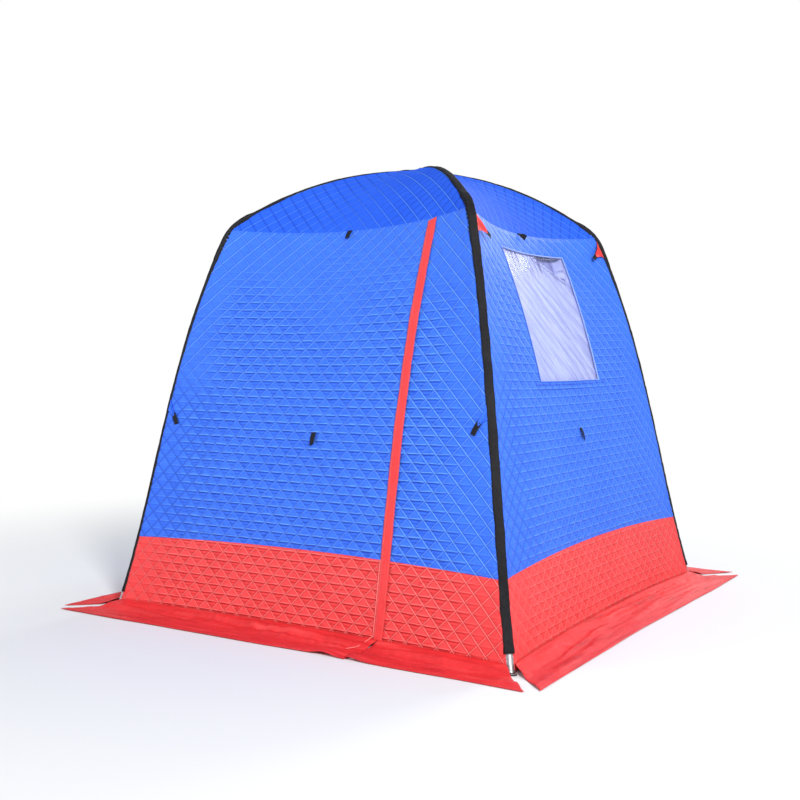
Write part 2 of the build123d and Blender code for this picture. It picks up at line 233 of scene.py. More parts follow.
def frame_finish(name, colour, worn, metallic, rough, grain, streak=1.0):
    """Moulded, drawn or galvanised: a mottled colour with worn patches and a fine grain."""
    material, tree, principled = shader(name)
    place = coordinates(tree)
    patches = noise_of(place, 40.0, 4.0)
    fine = noise_of(drawn_out(place, streak), grain, 3.0)
    colours = blend_colours(spread(patches, 0.45, 0.72), colour, worn)
    plug(principled.inputs["Base Color"], colours)
    principled.inputs["Metallic"].default_value = metallic
    plug(principled.inputs["Roughness"], spread(fine, 0.3, 0.7, rough - 0.08, rough + 0.12))
    bumped(principled, fine, 0.0003, 0.5)
    return material


def galvanised():
    """Zinc coating: pale spangles a few millimetres across, dulled and lightly scratched."""
    material, tree, principled = shader("galvanised_steel")
    place = coordinates(tree)
    spangle = tree.nodes.new("ShaderNodeTexVoronoi")
    spangle.inputs["Scale"].default_value = 150.0
    plug(spangle.inputs["Vector"], place)
    tone = Signal(spangle.outputs["Distance"]) * 1.2
    colours = blend_colours(tone, (0.62, 0.6, 0.62), (0.38, 0.38, 0.41))
    plug(principled.inputs["Base Color"], colours)
    principled.inputs["Metallic"].default_value = 0.85
    scuff = noise_of(place, 260.0, 5.0, 0.7)
    plug(principled.inputs["Roughness"], spread(scuff, 0.3, 0.75, 0.3, 0.56))
    bumped(principled, scuff, 0.0004, 0.4)
    return material


def finish_node(material, *names):
    for name in names:
        for material_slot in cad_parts[name].material_slots:
            material_slot.material = material


CORNERS = {"front_right": -45, "back_right": 45, "back_left": 135, "front_left": -135}
zinc = galvanised()
finish_node(zinc, "foot_ferrules")
# colour, worn colour, metallic, roughness, grain and how far the grain is drawn out
eyelet_metal = frame_finish("eyelet_metal", (0.55, 0.55, 0.57), (0.3, 0.3, 0.3), 0.9, 0.3, 500)
finish_node(eyelet_metal, "strap_eyelets")
black_plastic = frame_finish("black_plastic", (0.022, 0.022, 0.024), (0.05, 0.05, 0.052), 0, 0.45, 900)
finish_node(black_plastic, "crown_hub")
elbow_metal = frame_finish("elbow_metal", (0.42, 0.42, 0.44), (0.25, 0.25, 0.26), 0.8, 0.4, 400)
finish_node(elbow_metal, "shoulder_elbows")
rod_finish = frame_finish("fibreglass", (0.02, 0.02, 0.021), (0.06, 0.06, 0.055), 0, 0.35, 600, 0.05)
tube_finish = frame_finish("leg_tube", (0.03, 0.03, 0.032), (0.2, 0.2, 0.2), 0.7, 0.35, 700, 0.05)
finish_node(rod_finish, *[f"roof_rod_{corner}" for corner in CORNERS])
finish_node(tube_finish, *[f"leg_pole_{corner}" for corner in CORNERS])

# ==== Pole sleeves ====================================================================
# A tube of heavy black cloth runs up each whole pole, sewn to the wall and roof cloth
# along both flanks. It starts in a doubled hem above the cup, is drawn tight round the
# elbow, and is mitred against the other three at the crown.
BASE_HALF, KNEE_HALF, THIGH_HALF, SHOULDER_HALF = 1.0, 0.866, 0.833, 0.637
SHOULDER_Z, CROWN_Z = 1.729, 2.02
SLEEVE_WIDTH, SLEEVE_DEPTH = 0.031, 0.030
SLEEVE_START, ELBOW_REACH = 0.064, 0.060
LINE_STEP, SLEEVE_STEP = 0.004, 0.009
SLEEVE_CLOTH, SLEEVE_GIRTH = 0.0016, 0.112


def leg_half(height):
    """Centre of the hut to a leg's centre, along X or Y, at a height."""
    t = height / SHOULDER_Z
    flare = BASE_HALF * (1 - t) ** 3 + 3 * KNEE_HALF * t * (1 - t) ** 2
    return flare + 3 * THIGH_HALF * (1 - t) * t**2 + SHOULDER_HALF * t**3


def unit(vectors):
    """The same directions, each with a length of 1."""
    return vectors / np.maximum(np.linalg.norm(vectors, axis=-1, keepdims=True), 1e-9)


def run_along(points):
    """The length along a line of points at each of them."""
    return np.concatenate([[0], np.cumsum(np.linalg.norm(np.diff(points, axis=0), axis=1))])


def bell(offset, width):
    """1 at no offset, falling away evenly to about a third at the width."""
    return np.exp(-((offset / width) ** 2))


def grid(first, second):
    """Two tables that pair each of the first values with each of the second."""
    return np.meshgrid(first, second, indexing="ij")


def stacked(*parts):
    """Coordinates side by side, each stretched to the shape of the largest."""
    return np.stack(np.broadcast_arrays(*parts), axis=-1)


def along_line(points, spacing, start=0.0, end=None):
    """Points evenly spaced along a line of points, between two lengths along it."""
    run = run_along(points)
    end = run[-1] if end is None else end
    at = np.linspace(start, end, max(2, int(round((end - start) / spacing)) + 1))
    return np.stack([np.interp(at, run, points[:, axis]) for axis in range(points.shape[1])], axis=1)


def pole_line():
    """The centre line of a pole out along its diagonal and up, from the hem to the crown."""
    climb = np.linspace(0, SHOULDER_Z, 400)
    leg = np.stack([leg_half(climb) * sqrt(2), climb], axis=1)
    reach, rise = SHOULDER_HALF * sqrt(2), CROWN_Z - SHOULDER_Z
    radius = (reach**2 + rise**2) / (2 * rise)
    turn = np.linspace(atan2(reach, radius - rise), 0, 400)
    roof = np.stack([radius * np.sin(turn), CROWN_Z - radius + radius * np.cos(turn)], axis=1)
    leg = along_line(leg, LINE_STEP, SLEEVE_START, run_along(leg)[-1] - ELBOW_REACH)
    roof = along_line(roof, LINE_STEP, ELBOW_REACH)
    t = np.linspace(0, 1, 30)[1:-1, None]
    span = np.linalg.norm(roof[0] - leg[-1])
    out, back = (leg[-1] - leg[-2]) / LINE_STEP * span, (roof[1] - roof[0]) / LINE_STEP * span
    bend = (2 * t**3 - 3 * t**2 + 1) * leg[-1] + (t**3 - 2 * t**2 + t) * out
    bend += (3 * t**2 - 2 * t**3) * roof[0] + (t**3 - t**2) * back
    return along_line(np.concatenate([leg, bend, roof]), SLEEVE_STEP)


def smooth(value, low, high):
    """0 below low, 1 above high, and an even slope between."""
    t = np.clip((value - low) / (high - low), 0, 1)
    return t * t * (3 - 2 * t)


def waves(s, t, seed, size):
    """Smooth random field of about -1 to 1 whose features are about a size across."""
    rng = np.random.default_rng(seed)
    total = np.zeros(np.broadcast(s, t).shape)
    for _ in range(9):
        angle, phase = rng.uniform(0, 2 * pi, 2)
        pitch = size * rng.uniform(0.7, 1.6)
        total += np.sin(2 * pi * (s * cos(angle) + t * sin(angle)) / pitch + phase)
    return total / 4.5


def new_piece(name, points, faces, flat):
    """A mesh object whose UV map holds each vertex's place in the flat cloth, in metres."""
    mesh = bpy.data.meshes.new(name)
    mesh.from_pydata(points.tolist(), [], faces.tolist() if hasattr(faces, "tolist") else faces)
    mesh.uv_layers.new(name="cloth")
    order = np.empty(len(mesh.loops), dtype=np.int32)
    mesh.loops.foreach_get("vertex_index", order)
    mesh.uv_layers["cloth"].data.foreach_set("uv", flat[order].astype(np.float32).ravel())
    mesh.shade_smooth()
    piece = bpy.data.objects.new(name, mesh)
    bpy.context.collection.objects.link(piece)
    return piece


def cloth_grid(name, points, flat, thick, wrap=False):
    """A closed sheet of cloth from a grid of points on its face, the first index across
    and the second along; its back lies one thickness behind. wrap joins it to a tube."""
    rows, columns = points.shape[:2]
    if wrap:
        across = np.roll(points, -1, axis=0) - np.roll(points, 1, axis=0)
    else:
        across = np.gradient(points, axis=0)
    normal = unit(np.cross(across, np.gradient(points, axis=1)))
    back = points - normal * (thick if np.isscalar(thick) else thick[..., None])
    index = np.arange(rows * columns).reshape(rows, columns)
    if wrap:
        index = np.concatenate([index, index[:1]])
    i = index
    quads = np.stack([i[:-1, :-1], i[1:, :-1], i[1:, 1:], i[:-1, 1:]], axis=-1).reshape(-1, 4)
    behind = quads[:, ::-1] + rows * columns
    rims = [i[:, 0], i[::-1, -1]]
    if not wrap:
        rims += [i[0, ::-1], i[-1, :]]
    count = rows * columns
    rim_faces = [np.stack([r[1:], r[:-1], r[:-1] + count, r[1:] + count], axis=1) for r in rims]
    faces = np.concatenate([quads, behind, *rim_faces])
    both = np.concatenate([points.reshape(-1, 3), back.reshape(-1, 3)])
    return new_piece(name, both, faces, np.concatenate([flat.reshape(-1, 2)] * 2))


def turned(piece, angle):
    piece.data.transform(Matrix.Rotation(radians(angle), 4, "Z"))
    return piece


def dressed(piece, material, node=None, angle=0):
    """Gives a piece made for the front its cloth, and turns it to its own side."""
    piece.data.materials.append(material)
    turned(piece, angle)
    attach(piece, "root")
    if node is not None:
        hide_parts(node)
    return piece


def woven(name, colour, shade, pitch, rough, sheen=0.1, mottle=0.5, crease=0.0003, stitches=None):
    """Woven synthetic cloth, or webbing: its weave, faint mottling and fine creases.
    stitches adds rows of thread and what they do to the cloth: it gives back marks, each
    a mask and a colour, and a height; some marks are painted shade and painted highlight."""
    material, tree, principled = shader(name)
    flat = coordinates(tree, "UV")
    place = coordinates(tree)
    split = tree.nodes.new("ShaderNodeSeparateXYZ")
    plug(split.inputs[0], flat)
    across, along = Signal(split.outputs[0]), Signal(split.outputs[1])
    warp = maths("SINE", across * (2 * pi / pitch))
    weft = maths("SINE", along * (2 * pi / pitch))
    weave = warp * weft
    clouds = noise_of(place, 5.0, 4.0)
    spots = noise_of(place, 70.0, 5.0, 0.65)
    tone = clouds * 0.6 + spots * 0.4 + weave * 0.06
    colours = blend_colours(spread(tone, 0.35, 0.65, 0.0, mottle), colour, shade)
    height = weave * 0.12 + spots * 0.9
    if stitches is not None:
        marks, relief = stitches(across, along)
        for mask, mark_colour in marks:
            colours = blend_colours(mask, colours, mark_colour)
        height = height + relief
    plug(principled.inputs["Base Color"], colours)
    plug(principled.inputs["Roughness"], spread(spots, 0.3, 0.7, rough - 0.06, rough + 0.1))
    principled.inputs["Sheen Weight"].default_value = sheen
    principled.inputs["Sheen Roughness"].default_value = 0.4
    principled.inputs["Specular IOR Level"].default_value = max(0.05, 0.85 - 1.1 * rough)
    bumped(principled, height, crease)
    return material


def dashes(distance, along, thread=0.0009, length=0.0045):
    """A mask of one row of stitches: near the line, with short gaps along it."""
    near = spread(distance, thread * 0.5, thread * 0.9, 1.0, 0.0)
    return near * maths("LESS_THAN", maths("FRACT", along / length), 0.78)


def rows_of(across, places, along, thread=0.0009):
    """A mask of rows of stitches that run along, at places across the cloth."""
    mask, *others = (dashes(abs(across - place), along, thread) for place in places)
    for other in others:
        mask = maths("MAXIMUM", mask, other)
    return mask


def sleeve_stitches(across, along):
    """Two rows of black thread where each flank is sewn down."""
    mask = rows_of(across, (0.021, 0.025, 0.087, 0.091), along)
    return [(mask * 0.6, (0.05, 0.05, 0.055))], mask * -1.0


def pole_sleeve(corner, angle, seed):
    """One sleeve, made on the line between the two walls it joins, with a squarish
    section that is fuller at the foot, the elbow and the hub."""
    line = pole_line()
    length = np.arange(len(line)) * SLEEVE_STEP
    tangent = unit(np.gradient(line, axis=0))
    outward = np.stack([tangent[:, 1], -tangent[:, 0]], axis=1)
    around = 32
    turn = np.arange(around) / around * 2 * pi
    power = 2 / 5.2
    out = np.sign(np.cos(turn)) * np.abs(np.cos(turn)) ** power * SLEEVE_DEPTH / 2
    over = np.sign(np.sin(turn)) * np.abs(np.sin(turn)) ** power * SLEEVE_WIDTH / 2
    a, l = grid(turn, length)
    elbow = bell(l - 1.71, 0.09)
    swell = 0.0009 * waves(a * 0.05, l, seed, 0.16) + 0.0005 * waves(a * 0.04, l, seed + 1, 0.035)
    swell += elbow * 0.0016 * np.sin(l / 0.021 * 2 * pi + 1.5 * np.sin(a)) * (np.cos(a) < 0.4)
    swell += 0.0010 * (1 - smooth(l, 0.024, 0.027)) + 0.0004 * bell(l - 0.004, 0.003)
    flank = bell(np.cos(a), 0.28)
    front = np.clip(np.cos(a), 0, 1)
    swell -= 0.0007 * flank
    swell += 0.0009 * front * np.abs(np.sin(3 * a)) * 0.4
    factor = 1 + swell / 0.015
    at_elbow = smooth(l, 1.56, 1.61) * (1 - smooth(l, 1.83, 1.88))
    at_hub = smooth(l, length[-1] - 0.11, length[-1] - 0.07)
    roof_part = smooth(l, 1.80, 1.90)
    deep = 1.12 - 0.12 * smooth(l, 0.5, 1.5) + 0.18 * at_elbow - 0.30 * roof_part + 0.33 * at_hub
    deep *= factor
    radial = line[None, :, 0] + outward[None, :, 0] * (out[:, None] * deep)
    height = line[None, :, 1] + outward[None, :, 1] * (out[:, None] * deep)
    wide = 1.21 - 0.10 * smooth(l, 0.4, 1.5) + 0.05 * at_elbow - 0.09 * roof_part
    side = over[:, None] * factor * wide
    flat = stacked(a / (2 * pi) * SLEEVE_GIRTH, l)
    piece = cloth_grid(f"sleeve_{corner}", stacked(radial, side, height), flat, SLEEVE_CLOTH, wrap=True)
    bm = bmesh.new()
    bm.from_mesh(piece.data)
    for way in (1, -1):
        whole = bm.verts[:] + bm.edges[:] + bm.faces[:]
        bmesh.ops.bisect_plane(bm, geom=whole, plane_co=(0, 0, 0), plane_no=(-1, -way, 0), clear_outer=True)
        bmesh.ops.contextual_create(bm, geom=[e for e in bm.edges if e.is_boundary])
    bmesh.ops.triangulate(bm, faces=[f for f in bm.faces if len(f.verts) > 4])
    bm.to_mesh(piece.data)
    bm.free()
    dressed(piece, black_cloth, f"pole_sleeve_{corner}", angle)


black_cloth = woven(
    "black_fabric", (0.020, 0.020, 0.023), (0.008, 0.008, 0.010), 0.0011, 0.68, 0.0, 0.9, 0.0006,
    sleeve_stitches,
)
for seed, (corner, angle) in enumerate(CORNERS.items()):
    pole_sleeve(corner, angle, 20 + seed)

# ==== Quilted cloth ===================================================================
# Walls, foot band and roof are one padded cloth: a woven shell, wadding and a lining,
# sewn through in two-inch squares set on their points. Slack cloth folds each square
# along its level diagonal. Tight cloth shows the rows of stitching that carry the pull.
# The quilt's colour also carries painted highlights and painted shade along the rows and folds.
RIDGE = 0.018
CLOTH = 0.006
SQUARE = 0.0508
DIAMOND = SQUARE * sqrt(2)
SEAM_DIP = 0.040
BAND_TOP, DOOR_BAND_RISE, WINDOW_BAND_RISE = 0.315, 0.020, 0.028
ZIP_FOOT = 0.413


def side_bow(height):
    """How far the middle of a side is drawn in at a height: least near mid-height."""
    t = height / SHOULDER_Z
    return 0.045 - 0.125 * t + 0.190 * t**2


class Stretched:
    """The surface that a side's cloth is pulled to, for the front. In the flat cloth, s
    runs across from the middle and t runs up. Against t there are the half width between
    ridges, the height of the ridges, and the bow and dip at mid-width."""

    def __init__(self, half, height, bow, dip):
        self.half, self.height, self.bow, self.dip = half, height, bow, dip
        middle = np.stack([bow - half, height - dip])
        self.t = np.concatenate([[0.0], np.cumsum(np.hypot(*np.diff(middle, axis=1)))])
        a, b = bow / half**2, 1 - 2 * bow / half
        trim = (np.sqrt(b**2 + 4 * a * (SLEEVE_WIDTH - 0.003) / sqrt(2)) - b) / (2 * a)
        self.edge = np.maximum(half - trim, 0.002)

    def reach(self, t):
        """Half the width of the flat cloth between the sleeves' flanks."""
        return np.interp(t, self.t, self.edge)

    def point(self, s, t, out=0.0):
        half, bow, dip = (np.interp(t, self.t, table) for table in (self.half, self.bow, self.dip))
        slack = 1 - (s / half) ** 2
        height = np.interp(t, self.t, self.height)
        place = np.stack([s, bow * slack - half, height - dip * slack], axis=-1)
        if np.isscalar(out) and out == 0:
            return place
        step = 0.006
        across = self.point(s + step, t) - self.point(s - step, t)
        t_low, t_high = np.maximum(t - step, 0), np.minimum(t + step, self.t[-1])
        normal = unit(np.cross(across, self.point(s, t_high) - self.point(s, t_low)))
        return place + normal * np.asarray(out)[..., None]

    def t_at(self, s, height):
        """The t of a place at a height above the ice."""
        level = np.zeros(np.broadcast(s, height).shape) + height
        for _ in range(6):
            t = np.interp(level, self.height, self.t)
            half, dip = np.interp(t, self.t, self.half), np.interp(t, self.t, self.dip)
            level = height + dip * (1 - (s / half) ** 2)
        return np.interp(level, self.height, self.t)


def wall_surface():
    ridge_at = np.linspace(0.003, SHOULDER_Z + 0.002, 500)
    climb = np.minimum(ridge_at, SHOULDER_Z)
    dip = SEAM_DIP * (climb / SHOULDER_Z) ** 2
    return Stretched(leg_half(climb) + RIDGE, ridge_at, side_bow(climb), dip)


def roof_surface():
    corner, top, foot = SHOULDER_HALF + RIDGE, CROWN_Z + 0.012, SHOULDER_Z + 0.002
    radius = (2 * corner**2 + (top - foot) ** 2) / (2 * (top - foot))
    share = np.linspace(1.0, 0.045, 300)
    seam_tilt = atan2(SEAM_DIP, side_bow(SHOULDER_Z))
    sag = np.hypot(side_bow(SHOULDER_Z), SEAM_DIP) * share**1.3
    tilt = radians(75) + (seam_tilt - radians(75)) * share
    height = top - radius + np.sqrt(radius**2 - 2 * (corner * share) ** 2)
    return Stretched(corner * share, height, sag * np.cos(tilt), sag * np.sin(tilt))


wall, roof = wall_surface(), roof_surface()
WALL_TOP, ROOF_TOP = float(wall.t[-1]), float(roof.t[-1])


def cell_value(i, j, seed):
    """The same number from 0 to 1 at every point of one quilted square."""
    mixed = np.sin(i * 127.1 + j * 311.7 + seed * 74.7) * 43758.5453
    return mixed - np.floor(mixed)


def quilting(s, t, seed, crease, rising=0.0, falling=0.0, puff=0.0032):
    """How far quilted cloth stands out. crease is how far squares have folded on their
    level diagonals; rising and falling are how far the pull has flattened out all but
    the rows of stitching that rise, or fall, to the right."""
    a, b = (s + t) / DIAMOND, (s - t) / DIAMOND
    i, j = np.floor(a), np.floor(b)
    fa, fb = a - i, b - j
    across_a, across_b = 4 * fa * (1 - fa), 4 * fb * (1 - fb)
    pillow = across_a ** (0.6 * (1 - 0.85 * rising)) * across_b ** (0.6 * (1 - 0.85 * falling))
    one, two = cell_value(i, j, seed), cell_value(i, j, seed + 5)
    fold = fa - fb - 0.14 * (one - 0.5)
    inside = np.clip(across_a * across_b * 5, 0, 1)
    upper = np.clip(1 - np.abs(fold), 0, 1) ** 1.2
    under = np.clip(1 + fold * 5.5, 0, 1) ** 1.3
    second = (0.30 + 0.25 * two) * bell(fold + 0.42 + 0.16 * (two - 0.5), 0.13)
    ridge = np.where(fold > 0, upper, np.maximum(under, second)) * inside
    amount = np.clip(crease * (0.6 + 0.8 * two), 0, 1)
    return pillow * puff * (0.8 + 0.4 * one) * (1 - 0.6 * amount) + 0.0050 * amount * ridge


def quilted_panel(name, surface, low, high, lift, left=None, right=None, hole=None, parts=7):
    """One panel of quilted cloth for the front, closed all round. low and high give t at
    its two seams for any s; left and right give s at a cut edge for any t, or are None
    where it meets a sleeve; hole is a window's half width, foot and head in s and t."""
    step = DIAMOND / parts
    span_s = float(surface.edge.max())
    t_to = float(np.max(high(np.array([0.0, span_s])))) + 0.02
    count = int((span_s + t_to) / step) + 3
    i, j = (x.ravel() for x in grid(np.arange(-count, count), np.arange(-count, count)))
    ms, mt = (i + j + 1) * step / 2, (i - j) * step / 2

    def room(s, t):
        """The least distance from a flat place to any edge of the panel, inside it."""
        gaps = [t - low(s), high(s) - t, surface.reach(t) - np.abs(s)]
        if left is not None:
            gaps.append(s - left(t))
        if right is not None:
            gaps.append(right(t) - s)
        if hole is not None:
            gaps.append(np.maximum(np.abs(s) - hole[0], np.maximum(hole[1] - t, t - hole[2])))
        return np.minimum.reduce(gaps)

    keep = room(ms, mt) > -1.6 * step
    i, j = i[keep], j[keep]
    width = 2 * count + 4
    corners = ((0, 0), (1, 0), (1, 1), (0, 1))
    ids = np.stack([(i + di + count) * width + j + dj + count for di, dj in corners], axis=1)
    ids, index = np.unique(ids, return_inverse=True)
    index = index.reshape(-1, 4)
    ai, bi = (ids // width - count) * step, (ids % width - count) * step
    s, t = (ai + bi) / 2, (ai - bi) / 2
    mesh = bpy.data.meshes.new(name)
    triangles = np.concatenate([index[:, [0, 2, 1]], index[:, [0, 3, 2]]])
    mesh.from_pydata(np.stack([s, t, 0 * s], axis=1).tolist(), [], triangles.tolist())
    bm = bmesh.new()
    bm.from_mesh(mesh)

    def flat_places():
        return np.array([v.co[:2] for v in bm.verts]).T

    def cut(normal, place=(0, 0, 0), away=None, back=None, clear=True):
        """Cuts along a straight line, after away() has made the wanted seam straight."""
        if away is not None:
            for v, (x, y) in zip(bm.verts, np.stack(away(*flat_places())).T):
                v.co.x, v.co.y = x, y
        whole = bm.verts[:] + bm.edges[:] + bm.faces[:]
        bmesh.ops.bisect_plane(bm, geom=whole, plane_co=place, plane_no=normal, clear_outer=clear, dist=1e-5)
        if back is not None:
            for v, (x, y) in zip(bm.verts, np.stack(back(*flat_places())).T):
                v.co.x, v.co.y = x, y

    cut((0, -1, 0), away=lambda s, t: (s, t - low(s)), back=lambda s, t: (s, t + low(s)))
    cut((0, 1, 0), away=lambda s, t: (s, t - high(s)), back=lambda s, t: (s, t + high(s)))
    for normal in ((-1, 0, 0), (1, 0, 0)):
        cut(
            normal,
            place=normal,
            away=lambda s, t: (s / surface.reach(t), t),
            back=lambda s, t: (s * surface.reach(t), t),
        )
    if left is not None:
        cut((-1, 0, 0), away=lambda s, t: (s - left(t), t), back=lambda s, t: (s + left(t), t))
    if right is not None:
        cut((1, 0, 0), away=lambda s, t: (s - right(t), t), back=lambda s, t: (s + right(t), t))
    if hole is not None:
        for x in (-hole[0], hole[0]):
            cut((1, 0, 0), place=(x, 0, 0), clear=False)
        for y in hole[1:]:
            cut((0, 1, 0), place=(0, y, 0), clear=False)
        centres = [(f, f.calc_center_median()) for f in bm.faces]
        inside = [f for f, c in centres if abs(c.x) < hole[0] and hole[1] < c.y < hole[2]]
        bmesh.ops.delete(bm, geom=inside, context="FACES")
    bmesh.ops.triangulate(bm, faces=[f for f in bm.faces if len(f.verts) > 3])
    bmesh.ops.dissolve_degenerate(bm, dist=2e-5, edges=bm.edges[:])
    bmesh.ops.triangulate(bm, faces=[f for f in bm.faces if len(f.verts) > 3])

    layer, pulls = bm.loops.layers.uv.new("cloth"), bm.verts.layers.float_color.new("pull")
    face = bm.verts[:]
    for number, v in enumerate(face):
        v.index = number
    s, t = flat_places()
    gap = room(s, t)
    relief, *pull = lift(s, t)
    out = relief * smooth(gap, 0.0, 0.018) - 0.0028
    out -= 0.0012 * bell(gap - 0.008, 0.0025)
    out += 0.0035 * (1 - smooth(surface.reach(t) - np.abs(s), 0.004, 0.060))
    places = surface.point(s, t, out)
    flat_area = sum(f.calc_area() for f in bm.faces)

    rim = [e for e in bm.edges if e.is_boundary]
    on_rim = sorted({v.index for e in rim for v in e.verts})
    rim_order = {v: number for number, v in enumerate(on_rim)}
    coarse = DIAMOND / 2
    reach = int((span_s + t_to) / coarse) + 2
    gi, gj = (x.ravel() * coarse for x in np.meshgrid(np.arange(-reach, reach), np.arange(-reach, reach)))
    gs, gt = (gi + gj) / 2, (gi - gj) / 2
    clear = room(gs, gt) > 0.014
    back_s = np.concatenate([s[on_rim], gs[clear]])
    back_t = np.concatenate([t[on_rim], gt[clear]])
    rim_edges = [(rim_order[e.verts[0].index], rim_order[e.verts[1].index]) for e in rim]
    points, _, faces, sources, _, _ = delaunay_2d_cdt(
        [Vector(place) for place in zip(back_s, back_t)], rim_edges, [], 4, 1e-7
    )
    back_s, back_t = np.array([tuple(v) for v in points]).T
    back_places = surface.point(back_s, back_t, np.full(len(back_s), -CLOTH))
    back = [bm.verts.new((0, 0, 0)) for _ in back_places]
    partner = {}
    for number, originals in enumerate(sources):
        for original in originals:
            if original < len(on_rim):
                partner[on_rim[original]] = back[number]
    for corners in faces:
        middle_s, middle_t = back_s[list(corners)].mean(), back_t[list(corners)].mean()
        if hole is None or abs(middle_s) > hole[0] or not hole[1] < middle_t < hole[2]:
            bm.faces.new([back[corner] for corner in reversed(corners)])
    for e in rim:
        one, two = e.verts
        if e.link_loops[0].vert is one:
            one, two = two, one
        if partner[one.index] is not partner[two.index]:
            bm.faces.new([one, two, partner[two.index], partner[one.index]])
    flat_all = np.concatenate([np.stack([s, t], axis=1), np.stack([back_s, back_t], axis=1)])
    for v, values in zip(face, np.stack(pull, axis=1)):
        v[pulls] = (*values, 1.0)
    number_of = {}
    for number, (v, place) in enumerate(zip(face + back, np.concatenate([places, back_places]))):
        v.co = place
        number_of[v] = number
    for f in bm.faces:
        f.smooth = True
        for loop in f.loops:
            loop[layer].uv = flat_all[number_of[loop.vert]]
    bmesh.ops.delete(bm, geom=[v for v in bm.verts if not v.link_faces], context="VERTS")
    bmesh.ops.triangulate(bm, faces=[f for f in bm.faces if len(f.verts) > 3])
    facing = sum(f.normal.y * f.calc_area() for f in bm.faces if f.verts[0].index < len(face))
    if facing > 0:
        bmesh.ops.reverse_faces(bm, faces=bm.faces[:])
    bm.to_mesh(mesh)
    bm.free()
    piece = bpy.data.objects.new(name, mesh)
    bpy.context.collection.objects.link(piece)
    piece["flat_area"] = flat_area
    piece["flat_size"] = (float(np.ptp(s)), float(np.ptp(t)))
    return piece


def vector(x, y):
    """A place in a flat pattern, from its two coordinates."""
    return plug_all(x.node("ShaderNodeCombineXYZ"), x, y)


def off_line(line):
    """Distance to the nearest row of stitching, from a count of rows."""
    return abs(maths("FRACT", line + 0.5) - 0.5) * SQUARE


def quilt_marks(highlight_and_thread_colour, painted_shade_colour, least_pull):
    """Stitching in squares on their points, by the flat cloth's coordinates, with light and
    shade painted into the colour. A row that carries the pull stands up and gets a painted
    highlight, with painted shade along its flanks; a slack row lies in a groove darkened by
    painted shade. A creased square gets painted shade under its fold and at a second fold,
    a painted highlight above the fold, and fine lines of painted shade. The threads take the
    highlight's pale colour. The panel's pull attribute holds rising pull, falling pull and fold."""

    def marks(across, along):
        pull = across.node("ShaderNodeAttribute")
        pull.attribute_name = "pull"
        parts = across.node("ShaderNodeSeparateColor")
        plug(parts.inputs[0], pull.outputs["Color"])
        rising_pull, falling_pull, creased = (Signal(output) for output in parts.outputs[:3])
        falling = (across + along) / DIAMOND
        rising = (across - along) / DIAMOND
        found, height, threads, shares = [], 0.0, [], []
        for line, run, share in ((rising, falling, rising_pull), (falling, rising, falling_pull)):
            share = spread(share, 0.0, 1.0, least_pull, 1.0)
            off = off_line(line)
            core = spread(off, 0.0009, 0.0026, 1.0, 0.0)
            flank = spread(off, 0.0028, 0.007, 1.0, 0.0) - core
            soft = spread(off, 0.0012, 0.0048, 1.0, 0.0)
            up = core * share
            down = soft * (1.0 - share)
            # painted shade beside a pulled row and in a slack row's groove, and a painted highlight on a
            # pulled row
            found.append((flank * share * 0.65, painted_shade_colour))
            found.append((down * 0.8, painted_shade_colour))
            found.append((up * 0.95, highlight_and_thread_colour))
            threads.append(dashes(off, run * SQUARE))
            height = height + (up * 3.0 - down)
            shares.append(maths("FRACT", line))
        fold = shares[1] - shares[0]
        inside = maths("MULTIPLY", *[f * (1.0 - f) for f in shares])
        amount = spread(inside, 0.0, 0.02) * creased
        ruffle = noise_of(vector(across * 26.0, along * 95.0), 1.0, 2.0, 0.5)
        fold = fold + (ruffle - 0.5) * 0.16
        under = spread(abs(fold + 0.09), 0.03, 0.11, 1.0, 0.0)
        over = spread(abs(fold - 0.05), 0.01, 0.09, 1.0, 0.0)
        second_fold_shade = spread(abs(fold + 0.46), 0.02, 0.09, 1.0, 0.0)
        # painted shade in fine ruffle lines, under each fold and at a second fold, and a painted highlight
        # above the fold
        ruffle_shade_lines = spread(ruffle, 0.57, 0.66) * spread(amount, 0.0, 1.0, 0.15, 0.6)
        found.append((ruffle_shade_lines * 0.8, painted_shade_colour))
        found.append((under * amount * 0.85, painted_shade_colour))
        found.append((second_fold_shade * amount * 0.65, painted_shade_colour))
        found.append((over * amount * 0.65, highlight_and_thread_colour))
        # the threads are a pale colour, the same one as the painted highlight
        found.append((maths("MAXIMUM", *threads) * 0.35, highlight_and_thread_colour))
        step = spread(fold, -0.08, 0.02) * amount
        return found, height + step * 3.0

    return marks


def finish_panel(piece, material, node, angle):
    dressed(piece, material, node, angle)


# For each quilt: the painted highlight colour, which the threads share, the painted shade colour, and the
# least share of painted highlight on the rows.
red_quilt = woven(
    "red_quilt", (0.86, 0.070, 0.074), (0.72, 0.042, 0.046), 0.0008, 0.58, 0.05, 0.6, 0.0006,
    quilt_marks((1.0, 0.24, 0.23), (0.48, 0.010, 0.014), 0.45),
)
blue_quilt = woven(
    "blue_quilt", (0.043, 0.176, 0.87), (0.030, 0.125, 0.78), 0.0008, 0.58, 0.05, 0.6, 0.0006,
    quilt_marks((0.18, 0.44, 1.0), (0.007, 0.052, 0.46), 0.0),
)
# The roof is the walls' blue quilt made darker in colour and marks: painted shade that keeps the roof from
# looking lighter under the lamps. It is also rougher, with no sheen.
roof_quilt = woven(
    "roof_quilt", (0.028, 0.124, 0.80), (0.018, 0.090, 0.70), 0.0008, 0.74, 0.0, 0.6, 0.0005,
    quilt_marks((0.12, 0.33, 1.0), (0.006, 0.045, 0.44), 0.0),
)


def band_seam(rise):
    """t of the seam between band and wall, which arches up by a rise at mid-width."""

    def seam(s):
        arched = BAND_TOP + rise * (1 - (np.abs(s) / leg_half(BAND_TOP)) ** 2)
        return wall.t_at(s, arched)

    return seam


def flat_line(t):
    return lambda s: np.zeros_like(s) + t


